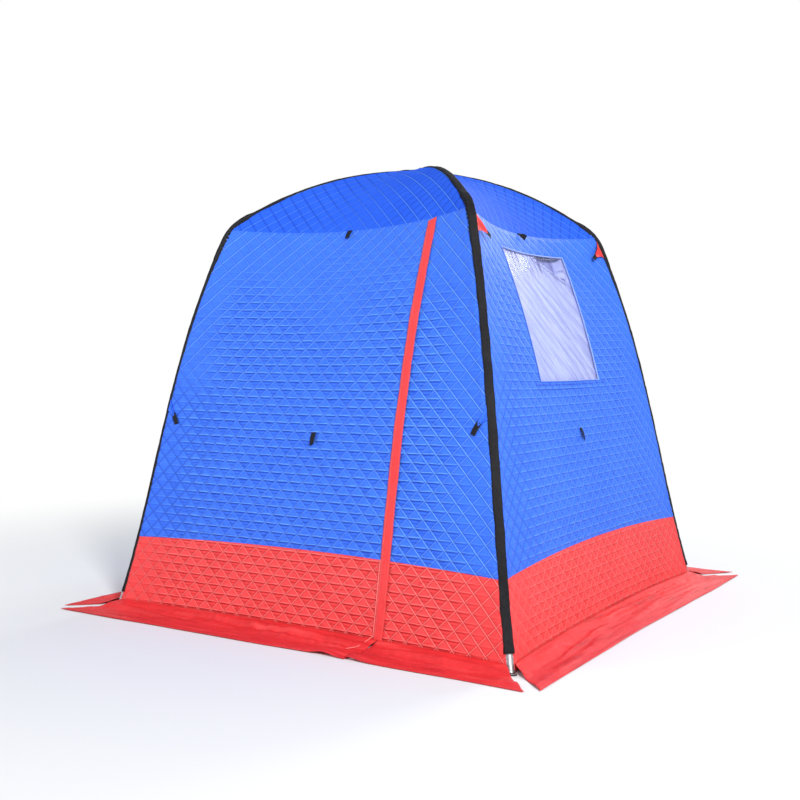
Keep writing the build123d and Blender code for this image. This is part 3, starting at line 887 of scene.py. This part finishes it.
def zip_line(side):
    """s of the doorway's cut edge, left (-1) or right (1) of the zip, for any t."""

    def edge(t):
        height = np.interp(t, wall.t, wall.height)
        return ZIP_FOOT + 0.0165 * height + side * 0.004

    return edge


def zip_middle(t):
    return (zip_line(-1)(t) + zip_line(1)(t)) / 2


def wall_lift(seed, high_rising, high_falling, slackness):
    """Relief of a wall and its band, and the pull on it. Low down, the cloth is slack and
    pulls up from the foot of each pole; towards the shoulder one set of rows carries it."""

    def lift(s, t):
        share = s / wall.reach(t)
        loose = waves(s, t, seed, 0.45)
        tight = smooth(t + 0.12 * loose, 0.85, 1.35)
        crease = 0.08 + 0.92 * (1 - smooth(t + 0.12 * loose, 1.10, 1.72))
        crease *= slackness * (1 - 0.8 * smooth(np.abs(share) + 0.06 * loose, 0.68, 0.94))
        low_pull = (1 - tight) * smooth(share, -0.85, -0.45)
        rising = tight * high_rising + low_pull * 0.45
        falling = tight * high_falling + low_pull * (0.30 + 0.50 * smooth(share, 0.15, 0.75))
        relief = quilting(s, t, seed, crease, rising, falling)
        relief += 0.0016 * waves(s, t, seed + 3, 0.5) + 0.0006 * waves(s, t, seed + 4, 0.06)
        return relief, rising, falling, crease

    return lift


def roof_lift(seed):
    def lift(s, t):
        share = s / roof.reach(t)
        rising, falling = 0.75 * smooth(-share, -0.6, 0.6), 0.75 * smooth(share, -0.6, 0.6)
        relief = quilting(s, t, seed, np.full_like(s, 0.03), rising, falling, 0.0024)
        relief += 0.0015 * waves(s, t, seed + 3, 0.4)
        return relief, rising, falling, np.full_like(s, 0.05)

    return lift


foot, shoulder = flat_line(0.0), flat_line(WALL_TOP)
door_seam, window_seam = band_seam(DOOR_BAND_RISE), band_seam(WINDOW_BAND_RISE)
WINDOW_HALF, WINDOW_FOOT, WINDOW_HEAD = 0.311, 1.028, 1.600
window_at = [float(wall.t_at(np.array([0.2]), z)[0]) for z in (WINDOW_FOOT, WINDOW_HEAD)]
window_hole = (WINDOW_HALF, *window_at)
# side, half, angle, band's seam, pull of rising and falling rows, left and right cut, window
SIDES = (
    ("front", "_left", 0, door_seam, 0.8, 0.30, None, zip_line(-1), None),
    ("front", "_right", 0, door_seam, 0.5, 0.7, zip_line(1), None, None),
    ("right", "", 90, window_seam, 0.36, 0.9, None, None, window_hole),
    ("back", "", 180, door_seam, 0.7, 0.35, None, None, None),
    ("left", "", -90, window_seam, 0.8, 0.36, None, None, window_hole),
)
for seed, (side, half, angle, seam, rising, falling, left, right, hole) in enumerate(SIDES):
    lift = wall_lift(seed, rising, falling, 1.0 if hole is None else 0.62)
    node = f"{side}_band{half}"
    piece = quilted_panel(f"{node}_cloth", wall, foot, seam, lift, left, right)
    finish_panel(piece, red_quilt, node, angle)
    node = f"{side}_wall{half}"
    piece = quilted_panel(f"{node}_cloth", wall, seam, shoulder, lift, left, right, hole)
    finish_panel(piece, blue_quilt, node, angle)
for seed, (side, angle) in enumerate((("front", 0), ("right", 90), ("back", 180), ("left", -90))):
    lift, node = roof_lift(seed + 40), f"roof_gore_{side}"
    piece = quilted_panel(f"{node}_cloth", roof, foot, flat_line(ROOF_TOP), lift)
    finish_panel(piece, roof_quilt, node, angle)

# ==== Doorway =========================================================================
# A coil zip runs from the ice over the shoulder seam, in tape sewn to both halves of the
# front. A folded red flap is sewn down its left side and lies over it; a cord piping
# along the flap's sewn edge runs out over the skirt.
FLAP_WIDTH, FLAP_TOP = 0.045, 1.700


def wall_place(s, t, out):
    """A place on the front, one distance outside its cloth's face."""
    return wall.point(s, t, np.zeros(np.broadcast(s, t).shape) + out)


def flap_stitches(across, along):
    """A double row along the sewn edge and a single one along the free hem."""
    mask = rows_of(across, (0.003, 0.007, 0.04), along, 0.0008)
    return [(mask * 0.7, (0.95, 0.3, 0.27))], mask * -2.0


red_flap = woven(
    "red_flap", (0.83, 0.052, 0.055), (0.68, 0.03, 0.035), 0.0008, 0.5, 0.1, 0.6, 0.0006, flap_stitches
)
t_run = np.arange(0.0, float(wall.t_at(np.array([0.44]), FLAP_TOP)[0]), 0.006)
share = np.linspace(0, 1, 13)[:, None]
wander = 0.0012 * waves(t_run, 0 * t_run, 61, 0.22)
width = FLAP_WIDTH + 0.0022 * waves(t_run, 0 * t_run, 62, 0.17)
flap_s = (zip_middle(t_run) + wander)[None, :] + (share - 0.5) * width[None, :]
flap_t = t_run[None, :] + 0 * share
flap_t[:, -1] += 0.010 * (share[:, 0] - 0.5)
slack = smooth(share, 0.1, 0.6)
flap_out = 0.0042 + 0.0012 * slack + slack * 0.0016 * waves(flap_t, 0 * flap_t, 63, 0.11)
flap_out = flap_out + 0.0007 * waves(flap_s, flap_t, 64, 0.03) - 0.0012 * bell(share - 0.13, 0.04)
flap_out = flap_out + 0.0007 * smooth(share, 0.90, 0.94)
flap_places = wall_place(flap_s, flap_t, flap_out)
flap = cloth_grid("flap_over_zip", flap_places, stacked(share * FLAP_WIDTH, flap_t), 0.0014)
dressed(flap, red_flap, "storm_flap")

zip_tape_finish = woven("zip_tape", (0.03, 0.03, 0.032), (0.02, 0.02, 0.021), 0.0007, 0.7, 0.2, 0.6, 0.0003)
zip_t = np.arange(0.004, WALL_TOP, 0.010)
zip_share = np.linspace(-1, 1, 7)[:, None]
zip_s = zip_middle(zip_t)[None, :] + zip_share * 0.0055
coil = bell(zip_share, 0.35) * 0.0012
zip_places = wall_place(zip_s, zip_t[None, :] + 0 * zip_s, -0.0035 + coil)
zip_tape = cloth_grid("zip_tape", zip_places, stacked(zip_s, zip_t[None, :]), 0.0012)
dressed(zip_tape, zip_tape_finish, "door_zip")


def round_cord(name, path, thick, material, angle=0):
    """A thin cord sewn down along a path of points, closed at both ends."""
    tangent = unit(np.gradient(path, axis=0))
    side_way = unit(np.cross(tangent, (0.0, 0.0, 1.0) if abs(tangent[0][2]) < 0.9 else (0.0, -1.0, 0.0)))
    up_way = np.cross(side_way, tangent)
    around = np.arange(8) / 8 * 2 * pi
    ring = np.cos(around)[:, None, None] * side_way + np.sin(around)[:, None, None] * up_way
    swell = np.ones(len(path))
    swell[[0, -1]] = 0.3
    points = path[None] + ring * (thick / 2 * swell)[None, :, None]
    index = np.arange(8 * len(path)).reshape(8, len(path))
    i = np.concatenate([index, index[:1]])
    faces = np.stack([i[:-1, :-1], i[:-1, 1:], i[1:, 1:], i[1:, :-1]], axis=-1).reshape(-1, 4).tolist()
    faces += [i[:-1, 0].tolist(), i[:-1, -1][::-1].tolist()]
    flat = stacked(around[:, None] / (2 * pi) * 3.14 * thick, run_along(path))
    piece = new_piece(name, points.reshape(-1, 3), faces, flat.reshape(-1, 2))
    return dressed(piece, material, angle=angle)


piping_finish = woven("pale_piping", (0.95, 0.25, 0.24), (0.85, 0.14, 0.14), 0.0006, 0.5, 0.1, 0.5, 0.0002)
piping_t = np.arange(0.335, 0.034, -0.006)
piping_s = zip_middle(piping_t) - FLAP_WIDTH / 2 - 0.002
down = wall_place(piping_s, piping_t, 0.0035)
turn = np.linspace(0, 1, 16)[1:]
onto_skirt = down[-1] + np.stack([-0.045 * turn**1.4, -0.120 * turn, 0 * turn], axis=1)
onto_skirt[:, 2] = 0.012 + 0.028 * (1 - smooth(0.120 * turn, -0.012, 0.085))
round_cord("flap_piping", np.concatenate([down, onto_skirt]), 0.0032, piping_finish)

# ==== Windows =========================================================================
# A clear vinyl pane is sewn behind an opening in each side wall, under a narrow turned
# edge. A quilted silver curtain hangs inside it, gathered along its top, and its back
# top corner has come loose and flopped down.
def seen_through(name):
    """Clear vinyl film: see-through apart from its gloss, which lets lamps through."""
    material, tree, principled = shader(name)
    principled.inputs["Base Color"].default_value = (0.90, 0.92, 1.0, 1)
    principled.inputs["Roughness"].default_value = 0.08
    principled.inputs["Specular IOR Level"].default_value = 0.6
    ripple = noise_of(coordinates(tree), 9.0, 2.0)
    bumped(principled, ripple, 0.004, 0.5)
    clear = tree.nodes.new("ShaderNodeBsdfTransparent")
    clear.inputs[0].default_value = (0.93, 0.94, 0.985, 1)
    rim = tree.nodes.new("ShaderNodeFresnel")
    rim.inputs["IOR"].default_value = 1.45
    haze = spread(noise_of(coordinates(tree), 3.0, 3.0), 0.35, 0.7, 0.0, 0.04)
    away = Signal(tree.nodes.new("ShaderNodeNewGeometry").outputs["Backfacing"])
    gloss = (Signal(rim.outputs[0]) * 0.35 + haze) * (1.0 - away)
    mix_into_output(tree, gloss, clear.outputs[0], principled.outputs[0])
    return material


def curtain_marks(across, along):
    """Wide-set rows of quilting on the slant, lying in shallow grooves, with light and shade
    painted into the colour: painted shade in the grooves, towards the far side and in the
    gathers along the top, slanting streaks of painted highlight and painted shade, and
    painted shade on the loose corner and along its folds.
    """
    off, cross = off_line((across + along) / DIAMOND), off_line((across - along) / DIAMOND)
    one, two = (spread(x, 0.0005, 0.0035, 1.0, 0.0) for x in (off, cross))
    groove = maths("MAXIMUM", one, two * 0.25)
    slanted = vector((across + along) * 22.0, (across - along) * 3.0)
    upright = vector(across * 45.0, along * 7.0)
    streaks = noise_of(slanted, 1.0, 3.0, 0.6)
    gathers = noise_of(upright, 1.0, 2.0, 0.6)
    gathered = spread(gathers, 0.5, 0.62) * spread(along, 0.49, 0.56)
    far_side_shade = spread(across, -0.1, 0.33, 0.0, 0.55)
    # the loose corner: painted shade above a line of folds that runs down towards the back edge, and painted
    # shade along the folds
    above = along - 0.647 + across * 0.47 + (gathers - 0.5) * 0.02
    there = spread(across, 0.01, 0.06) * spread(across, 0.285, 0.27)
    loose = spread(above, 0.0, 0.01) * there
    fold = spread(abs(above), 0.003, 0.008, 1.0, 0.0) * there
    second_fold = spread(abs(above + 0.022), 0.002, 0.006, 0.6, 0.0) * there
    # painted shade towards the far side, streaks of painted highlight and painted shade, painted shade in
    # the gathers, grooves, loose corner and folds
    marks = [
        (far_side_shade, (0.38, 0.41, 0.66)),
        (spread(streaks, 0.46, 0.62, 0.0, 0.75), (0.62, 0.66, 0.94)),
        (spread(streaks, 0.48, 0.38, 0.0, 0.3), (0.34, 0.36, 0.64)),
        (gathered * 0.9, (0.15, 0.15, 0.38)),
        (groove * 0.4, (0.24, 0.25, 0.5)),
        (loose * 0.55, (0.24, 0.25, 0.56)),
        (maths("MAXIMUM", fold, second_fold) * 0.85, (0.07, 0.07, 0.24)),
    ]
    return marks, (streaks - groove - gathered) * 3.0


vinyl = seen_through("clear_vinyl")
silver_quilt = woven(
    "silver_quilt", (0.50, 0.54, 0.84), (0.38, 0.43, 0.74), 0.0008, 0.50, 0.0, 0.8, 0.0008, curtain_marks
)


def binding_stitches(across, along):
    row = rows_of(across, (0.004,), along, 0.0008)
    return [(row * 0.6, (0.3, 0.5, 1.0))], row * -1.5


blue_binding = woven(
    "blue_binding", (0.34, 0.46, 0.96), (0.24, 0.36, 0.92), 0.0008, 0.5, 0.1, 0.6, 0.0003, binding_stitches
)
seam_thread = woven("seam_thread", (0.02, 0.085, 0.55), (0.015, 0.06, 0.45), 0.0008, 0.6, 0.0, 0.5, 0.0002)


def window(side, angle, seed):
    """The pane, the turned edge round the opening, the curtain and the seams at its foot."""
    half, low, high = window_hole
    s, t = grid(np.linspace(-half, half, 40), np.linspace(low, high, 40))
    slack = np.sin((s + half) / (2 * half) * pi) * np.sin((t - low) / (high - low) * pi)
    bulge = 0.0035 * slack * waves(s, t, seed, 0.35)
    pane = cloth_grid(f"vinyl_{side}", wall.point(s, t, bulge - 0.0032), stacked(s, t), 0.0010)
    dressed(pane, vinyl, f"window_pane_{side}", angle)

    # the turned edge, a flat tube run once round the opening
    corners = [(-half, low), (half, low), (half, high), (-half, high), (-half, low)]
    steps = np.concatenate([np.linspace(corners[i], corners[i + 1], 60)[:-1] for i in range(4)])
    across, along = steps.T
    out_s = np.where(np.isclose(np.abs(across), half), np.sign(across), 0.0)
    out_t = np.isclose(along, high) * 1.0 - np.isclose(along, low)
    band = np.linspace(0, 1, 7)
    lap = (band * 0.0045 - 0.0012)[None, :]
    flat_s, flat_t = across[:, None] + out_s[:, None] * lap, along[:, None] + out_t[:, None] * lap
    out = 0.0004 + 0.0012 * np.sin(band * pi)[None, :] ** 0.5 - 0.0035 * (band < 0.1)
    points = wall.point(flat_s, flat_t, out + 0 * flat_s)
    run = run_along(steps)
    flat = stacked(band * 0.008, run[:, None])
    binding = cloth_grid(f"window_edge_{side}", points[::-1], flat[::-1], 0.0012, wrap=True)
    dressed(binding, blue_binding, angle=angle)

    wide, tall = half + 0.025, high - low + 0.05
    s, t = grid(np.linspace(-wide, wide, 84), np.linspace(low - 0.025, high + 0.025, 78))
    flat = stacked(*grid(np.linspace(-wide, wide, 84), np.linspace(0, tall, 78)))
    below = np.clip((high + 0.010 - t) / 0.30, 0, 1)
    gather = bell(below, 0.28) * np.sin(s / 0.027 * 2 * pi + 4 * waves(s, 0 * s, seed + 2, 0.2))
    a, b = (s + t) / DIAMOND, (s - t) / DIAMOND
    puffs = (16 * (a % 1) * (1 - a % 1) * (b % 1) * (1 - b % 1)) ** 0.5
    depth = -0.0135 + 0.0034 * gather + 0.0020 * puffs + 0.0025 * waves(s, t, seed + 3, 0.30)
    # between a point along the top and the back corner the cloth sags, and flops inwards
    sag = smooth(s, half - 0.300, half - 0.030) ** 0.8 * (1 - smooth(s, half - 0.034, half - 0.004))
    above_sag = t - (high + 0.012 - 0.125 * sag)
    over = np.clip(above_sag, 0, None) * smooth(s, half - 0.31, half - 0.27)
    over = over * (1 - smooth(s, half - 0.006, half + 0.004))
    rolled = bell(above_sag, 0.014) * smooth(sag, 0.05, 0.25)
    depth = np.minimum(depth + 0.0045 * rolled, -0.0075) - 0.030 * smooth(over, 0.003, 0.034)
    curtain = cloth_grid(f"curtain_{side}", wall.point(s, t - 0.02 * over, depth), flat, 0.0035)
    dressed(curtain, silver_quilt, f"window_curtain_{side}", angle)

    # two rows of thread under the opening hold the curtain's foot
    for level in (0.018, 0.037):
        row_s = np.arange(-0.375, 0.376, 0.01)
        row = wall.point(row_s, 0 * row_s + low - level, np.zeros(len(row_s)) + 0.0006)
        name = f"curtain_seam_{side}_{int(level * 1000)}"
        round_cord(name, row, 0.0020, seam_thread, angle)


for seed, (side, angle) in enumerate((("right", 90), ("left", -90))):
    window(side, angle, 70 + 10 * seed)

# ==== Skirt ===========================================================================
# Single red cloth with a turned hem, sewn round the foot of the band. It slopes to the
# ice and lies in soft folds, to be weighed down with snow. The corners are mitred apart,
# and the front one is slit below the zip.
SKIRT_OUT, SKIRT_GAP = 1.190, 0.060
SLIT_SLANT = 0.075


def skirt_stitches(across, along):
    """One row of thread round the hem, at the foot of the cloth, and long flat folds, with painted shade and
    painted highlight along them.
    """
    row = dashes(abs(along - 0.012), across, 0.0009, 0.005)
    long_folds = noise_of(vector(across * 3.0, along * 34.0), 1.0, 3.0, 0.55)
    # painted shade and painted highlight along the long folds, then the hem's thread
    marks = [
        (spread(long_folds, 0.55, 0.68, 0.0, 0.6), (0.44, 0.01, 0.014)),
        (spread(long_folds, 0.46, 0.34, 0.0, 0.45), (0.95, 0.1, 0.1)),
        (row * 0.5, (0.95, 0.25, 0.24)),
    ]
    return marks, long_folds * -7.0 - row


red_skirt = woven(
    "red_skirt", (0.80, 0.034, 0.038), (0.60, 0.016, 0.020), 0.0009, 0.50, 0.0, 0.7, 0.0008, skirt_stitches
)


def skirt(name, node, angle, seed, x_from=-1.0, x_to=1.0, lifted=(), folds=(), left=0.0, right=0.0):
    """One skirt of the front, between two shares of its half width. lifted holds places
    along the hem that stand up; left and right are how much wider each end lies."""
    sew_height = 0.030
    sewn_t = float(wall.t_at(np.array([0.0]), sew_height)[0])
    reach = float(wall.reach(np.array([sewn_t]))[0]) - 0.004
    hem = SKIRT_OUT - SKIRT_GAP / sqrt(2)
    count = int(240 * (x_to - x_from) / 2)
    u, v = grid(np.linspace(x_from, x_to, count), np.linspace(0, 1, 30))
    inner = wall.point(u * reach, sewn_t + 0 * u, 0 * u + 0.0015)
    x_in, y_in = inner[..., 0], inner[..., 1]
    wider = left * smooth(-u, -0.3, 1.0) + right * smooth(u, -0.3, 1.0)
    x_out = u * (hem + 0.6 * wider)
    if x_to - x_from < 1.9:
        x_out = x_out - SLIT_SLANT * bell(u - slit, 0.22)
    y_out = -SKIRT_OUT - wider + 0.006 * (0.5 + 0.5 * waves(x_out, 0 * u, seed, 0.5))
    x, y = x_in + (x_out - x_in) * v, y_in + (y_out - y_in) * v
    run = v * (y_in - y_out)
    slope = 1 - smooth(run, -0.012, 0.085)
    rumple = smooth(run, 0.0, 0.05) * (1 - 0.75 * smooth(v, 0.72, 1.0))
    near_seam = bell(run - 0.055, 0.04)
    z = 0.0026 + (sew_height - 0.002) * slope
    z += rumple * 0.0075 * np.clip(waves(x * 0.55, y * 1.6, seed + 1, 0.16), -0.3, 1.5)
    z += near_seam * 0.0045 * np.clip(waves(x, y * 0.5, seed + 2, 0.085), -0.2, 1.4)
    z += 0.0016 * waves(x, y, seed + 3, 0.05) * rumple
    for place, wide, start, slant, high in folds:
        off = run - (start + slant * (x - place))
        steep = np.where(off > 0, 0.007, 0.020)
        z += high * bell(off, steep) * np.exp(-(((x - place) / wide) ** 4))
    for place, wide, high in lifted:
        z += high * bell(x - place, wide) * smooth(v, 0.25, 1.0)
    z = np.maximum(z, 0.0022) + 0.0006 * smooth(v, 0.925, 0.935)
    points, flat = stacked(x, y, z)[::-1, ::-1], stacked(x, y - y_out)[::-1, ::-1]
    piece = cloth_grid(name, points, flat, 0.0012)
    dressed(piece, red_skirt, node, angle)
    width, depth = float(np.ptp(x)), float((y_in - y_out).max())
    area = float(np.mean(np.ptp(x, axis=0))) * float(np.mean(y_in - y_out)) * 1.04


slit = ZIP_FOOT / (float(wall.reach(np.array([0.03]))[0]) - 0.004)
# each fold: its middle along the hem, half length, distance from the wall, slant, height
LEFT_FOLDS = (
    (-0.10, 0.48, 0.050, 0.03, 0.018), (-0.78, 0.20, 0.085, 0.16, 0.014), (0.10, 0.30, 0.105, -0.03, 0.009),
)
RIGHT_FOLDS = ((0.72, 0.22, 0.060, -0.06, 0.016), (0.60, 0.16, 0.110, 0.04, 0.010))
SIDE_FOLDS = (
    (0.30, 0.50, 0.060, 0.02, 0.015), (-0.45, 0.30, 0.090, -0.04, 0.012), (0.55, 0.25, 0.115, 0.05, 0.009),
)
lifted = ((0.30, 0.05, 0.012),), ((0.42, 0.06, 0.010),)
skirt("skirt_front_left", "front_skirt_left", 0, 90, -1.0, slit - 0.002, lifted[0], LEFT_FOLDS, 0.025)
skirt("skirt_front_right", "front_skirt_right", 0, 94, slit + 0.002, 1.0, lifted[1], RIGHT_FOLDS)
OTHERS = (("right", 90, 0.0, 0.030), ("back", 180, 0.040, 0.0), ("left", -90, 0.0, 0.015))
for seed, (side, angle, left, right) in enumerate(OTHERS):
    skirt(f"skirt_{side}", f"{side}_skirt", angle, 98 + 4 * seed, folds=SIDE_FOLDS, left=left, right=right)

# ==== Webbing and corner pieces =======================================================
# Flat nylon webbing, folded and caught in the seams, takes guy lines and the poles' ties.
# A cloth triangle holds a tab off each pole at the shoulder, and half way up the front
# and back. A strap with an eyelet, for an ice peg, runs under each foot.
def webbing_marks(across, _):
    """Ribs that run along the webbing."""
    ribs = maths("SINE", across * (2 * pi / 0.0022))
    return [(spread(ribs, 0.2, 1.0, 0.0, 0.35), (0.05, 0.05, 0.055))], ribs * 0.5


webbing = woven(
    "black_webbing", (0.016, 0.016, 0.019), (0.007, 0.007, 0.009), 0.0012, 0.66, 0.0, 0.8, 0.0005,
    webbing_marks,
)


def webbing_strip(name, angle, path, across, width, node, thick=0.0028):
    """Webbing along a path of points; across holds the way its width runs at each point."""
    across = unit(np.asarray(across, float))
    share = np.linspace(-0.5, 0.5, 9)
    bulge = unit(np.cross(np.gradient(path, axis=0), across))
    points = path[None] + share[:, None, None] * width * across[None]
    points = points + ((0.25 - share**2) * 0.003)[:, None, None] * bulge[None]
    piece = cloth_grid(name, points, stacked(share[:, None] * width, run_along(path)), thick)
    dressed(piece, webbing, node, angle)


def hanging_path(root, outward, length, start, end, steps=14):
    """A path from a root that leans from one angle below level to another."""
    outward = unit(np.asarray(outward, float))
    angles = np.radians(np.linspace(start, end, steps))
    way = np.cos(angles)[:, None] * outward + np.sin(angles)[:, None] * np.array([0.0, 0.0, -1.0])
    return np.asarray(root) + np.concatenate([[[0, 0, 0]], np.cumsum(way, axis=0)]) * length / steps


def wall_root(s, height, out):
    t = wall.t_at(np.array([s]), height)
    return wall.point(np.array([s]), t, np.array([out]))[0]


def wall_tab(name, angle, s, height, length, start, end, twist):
    """A tab that leaves the wall at one angle below level and ends at another."""
    path = hanging_path(wall_root(s, height, -0.004), (0.25 * twist, -1, 0), length, start, end)
    turn = np.linspace(0, twist, len(path))[:, None]
    across = (1 - np.abs(turn)) * np.array([1.0, 0.0, 0.0]) + turn * np.array([0.0, -0.5, 0.85])
    webbing_strip(name, angle, path, across, 0.022, "webbing_tabs")


def gusset_stitches(across, along):
    mask = rows_of(across, (0.006, 0.01), along, 0.0008)
    return [(mask * 0.6, (0.95, 0.35, 0.3))], mask * -1.5


red_corner = woven(
    "red_corner", (0.84, 0.055, 0.055), (0.70, 0.03, 0.035), 0.0008, 0.58, 0.0, 0.6, 0.0005, gusset_stitches
)
blue_corner = woven("blue_corner", (0.04, 0.16, 0.84), (0.02, 0.10, 0.7), 0.0008, 0.58, 0.0, 0.6, 0.0005)


def corner_piece(name, angle, way, top, foot, tip, material, node, hang):
    """A triangle of cloth from a pole's flank to a tip that stands off the wall, with its
    webbing. way is 1 for the right pole of a side and -1 for the left one; hang is the
    webbing's length and its angles to the triangle at its start and end."""
    sewn_t = [wall.t_at(np.array([0.6]), height) for height in (top, foot)]
    a, b = (wall.point(wall.reach(t) - 0.001, t, np.array([0.0035]))[0] for t in sewn_t)
    tip = np.asarray(tip)
    edge = unit(a - b)
    c, d = tip + edge * 0.008, tip - edge * 0.008
    u, v = grid(np.linspace(0, 1, 16), np.linspace(0, 1, 12))
    v = 0.5 + (v - 0.5) * (1 - 0.22 * np.sin(u * pi))
    u, v = u[..., None], v[..., None]
    points = (1 - u) * ((1 - v) * a + v * b) + u * ((1 - v) * c + v * d)
    normal = unit(np.cross(c - a, b - a))
    if normal[1] > 0:
        normal = -normal
    points = points + normal * (0.004 * np.sin(u * pi) * np.sin(v * 2.2 * pi + 0.6))
    long, short = float(np.linalg.norm(tip - (a + b) / 2)), float(np.linalg.norm(a - b))
    flat = np.concatenate([u * long, v * short], axis=-1)
    down = (tip - (a + b) / 2) / long
    path = tip + hanging_path((0, 0, 0), down, 0.016 + hang[0], *hang[1:])
    path = path - down * 0.010 - normal * 0.0004
    tangent = unit(np.gradient(path, axis=0))
    across = edge - (edge * tangent).sum(1, keepdims=True) * tangent
    mirror = np.array([way, 1.0, 1.0])
    if way < 0:
        points, flat = points[::-1], flat[::-1]
    if np.cross(points[1, 0] - points[0, 0], points[0, 1] - points[0, 0])[1] * way > 0:
        points, flat = points[:, ::-1], flat[:, ::-1]
    piece = cloth_grid(f"{name}_cloth", points * mirror, flat, 0.0012)
    dressed(piece, material, node, angle)
    path, across = (path * mirror)[::way], (across * mirror)[::way]
    webbing_strip(f"{name}_webbing", angle, path, across, 0.021, "webbing_tabs")


for side, angle in (("front", 0), ("right", 90), ("back", 180), ("left", -90)):
    level, twists = (15, (0.9, -0.4)) if side == "right" else (38, (0.2, 0.3))
    wall_tab(f"seam_tab_{side}", angle, -0.020, 1.694, 0.042, level, level + 30, twists[0])
    wall_tab(f"middle_tab_{side}", angle, 0.0, 0.822, 0.062, 45, 88, twists[1])
    for way, hand in ((1, "right"), (-1, "left")):
        if side in ("left", "right"):
            corner_piece(
                f"{side}_shoulder_{hand}", angle, way, 1.708, 1.622, (0.567, -0.677, 1.634),
                red_corner, "shoulder_gussets", (0.024, 0, 12),
            )
        else:
            corner_piece(
                f"{side}_pole_{hand}", angle, way, 0.940, 0.885, (0.792, -0.861, 0.874),
                blue_corner, "pole_gussets", (0.030, 5, 35),
            )

# a loop over the back left pole's sleeve, just short of the crown
line = pole_line()
here = np.interp(-0.050, -line[:, 0], line[:, 1])
turn = np.linspace(-0.15, pi + 0.15, 22)
loop = stacked(0.050 + 0.008 * np.cos(turn), 0.011 * np.cos(turn), here + 0.010 + 0.018 * np.sin(turn))
across = np.tile((1.0, -0.7, 0.0), (len(turn), 1))
webbing_strip("crown_loop", CORNERS["back_left"], loop, across, 0.013, "webbing_tabs", 0.002)


def foot_strap(corner, angle):
    """A strap whose outer end is rounded off about its eyelet, from a ring of rays."""
    half_width, inner_reach, eyelet = 0.0125, 0.0600, 0.0066
    turn = np.arange(72) / 72 * 2 * pi
    side_reach = half_width / np.maximum(np.abs(np.sin(turn)), 1e-6)
    end_reach = inner_reach / np.maximum(-np.cos(turn), 1e-6)
    reach = np.where(np.cos(turn) > 0, half_width, np.minimum(side_reach, end_reach))
    share = np.linspace(0, 1, 10)[None, :]
    away = eyelet + (reach[:, None] - eyelet) * share
    x, y = away * np.cos(turn)[:, None], away * np.sin(turn)[:, None]
    z = 0.0024 + 0.00015 * np.sin(x * 900) * share
    points, flat = stacked(x + BASE_HALF * sqrt(2) + 0.038, y, z)[:, ::-1], stacked(y, x)[:, ::-1]
    strap = cloth_grid(f"foot_strap_{corner}", points, flat, 0.0022, wrap=True)
    dressed(strap, webbing, "foot_straps", angle)


for corner, angle in CORNERS.items():
    foot_strap(corner, angle)
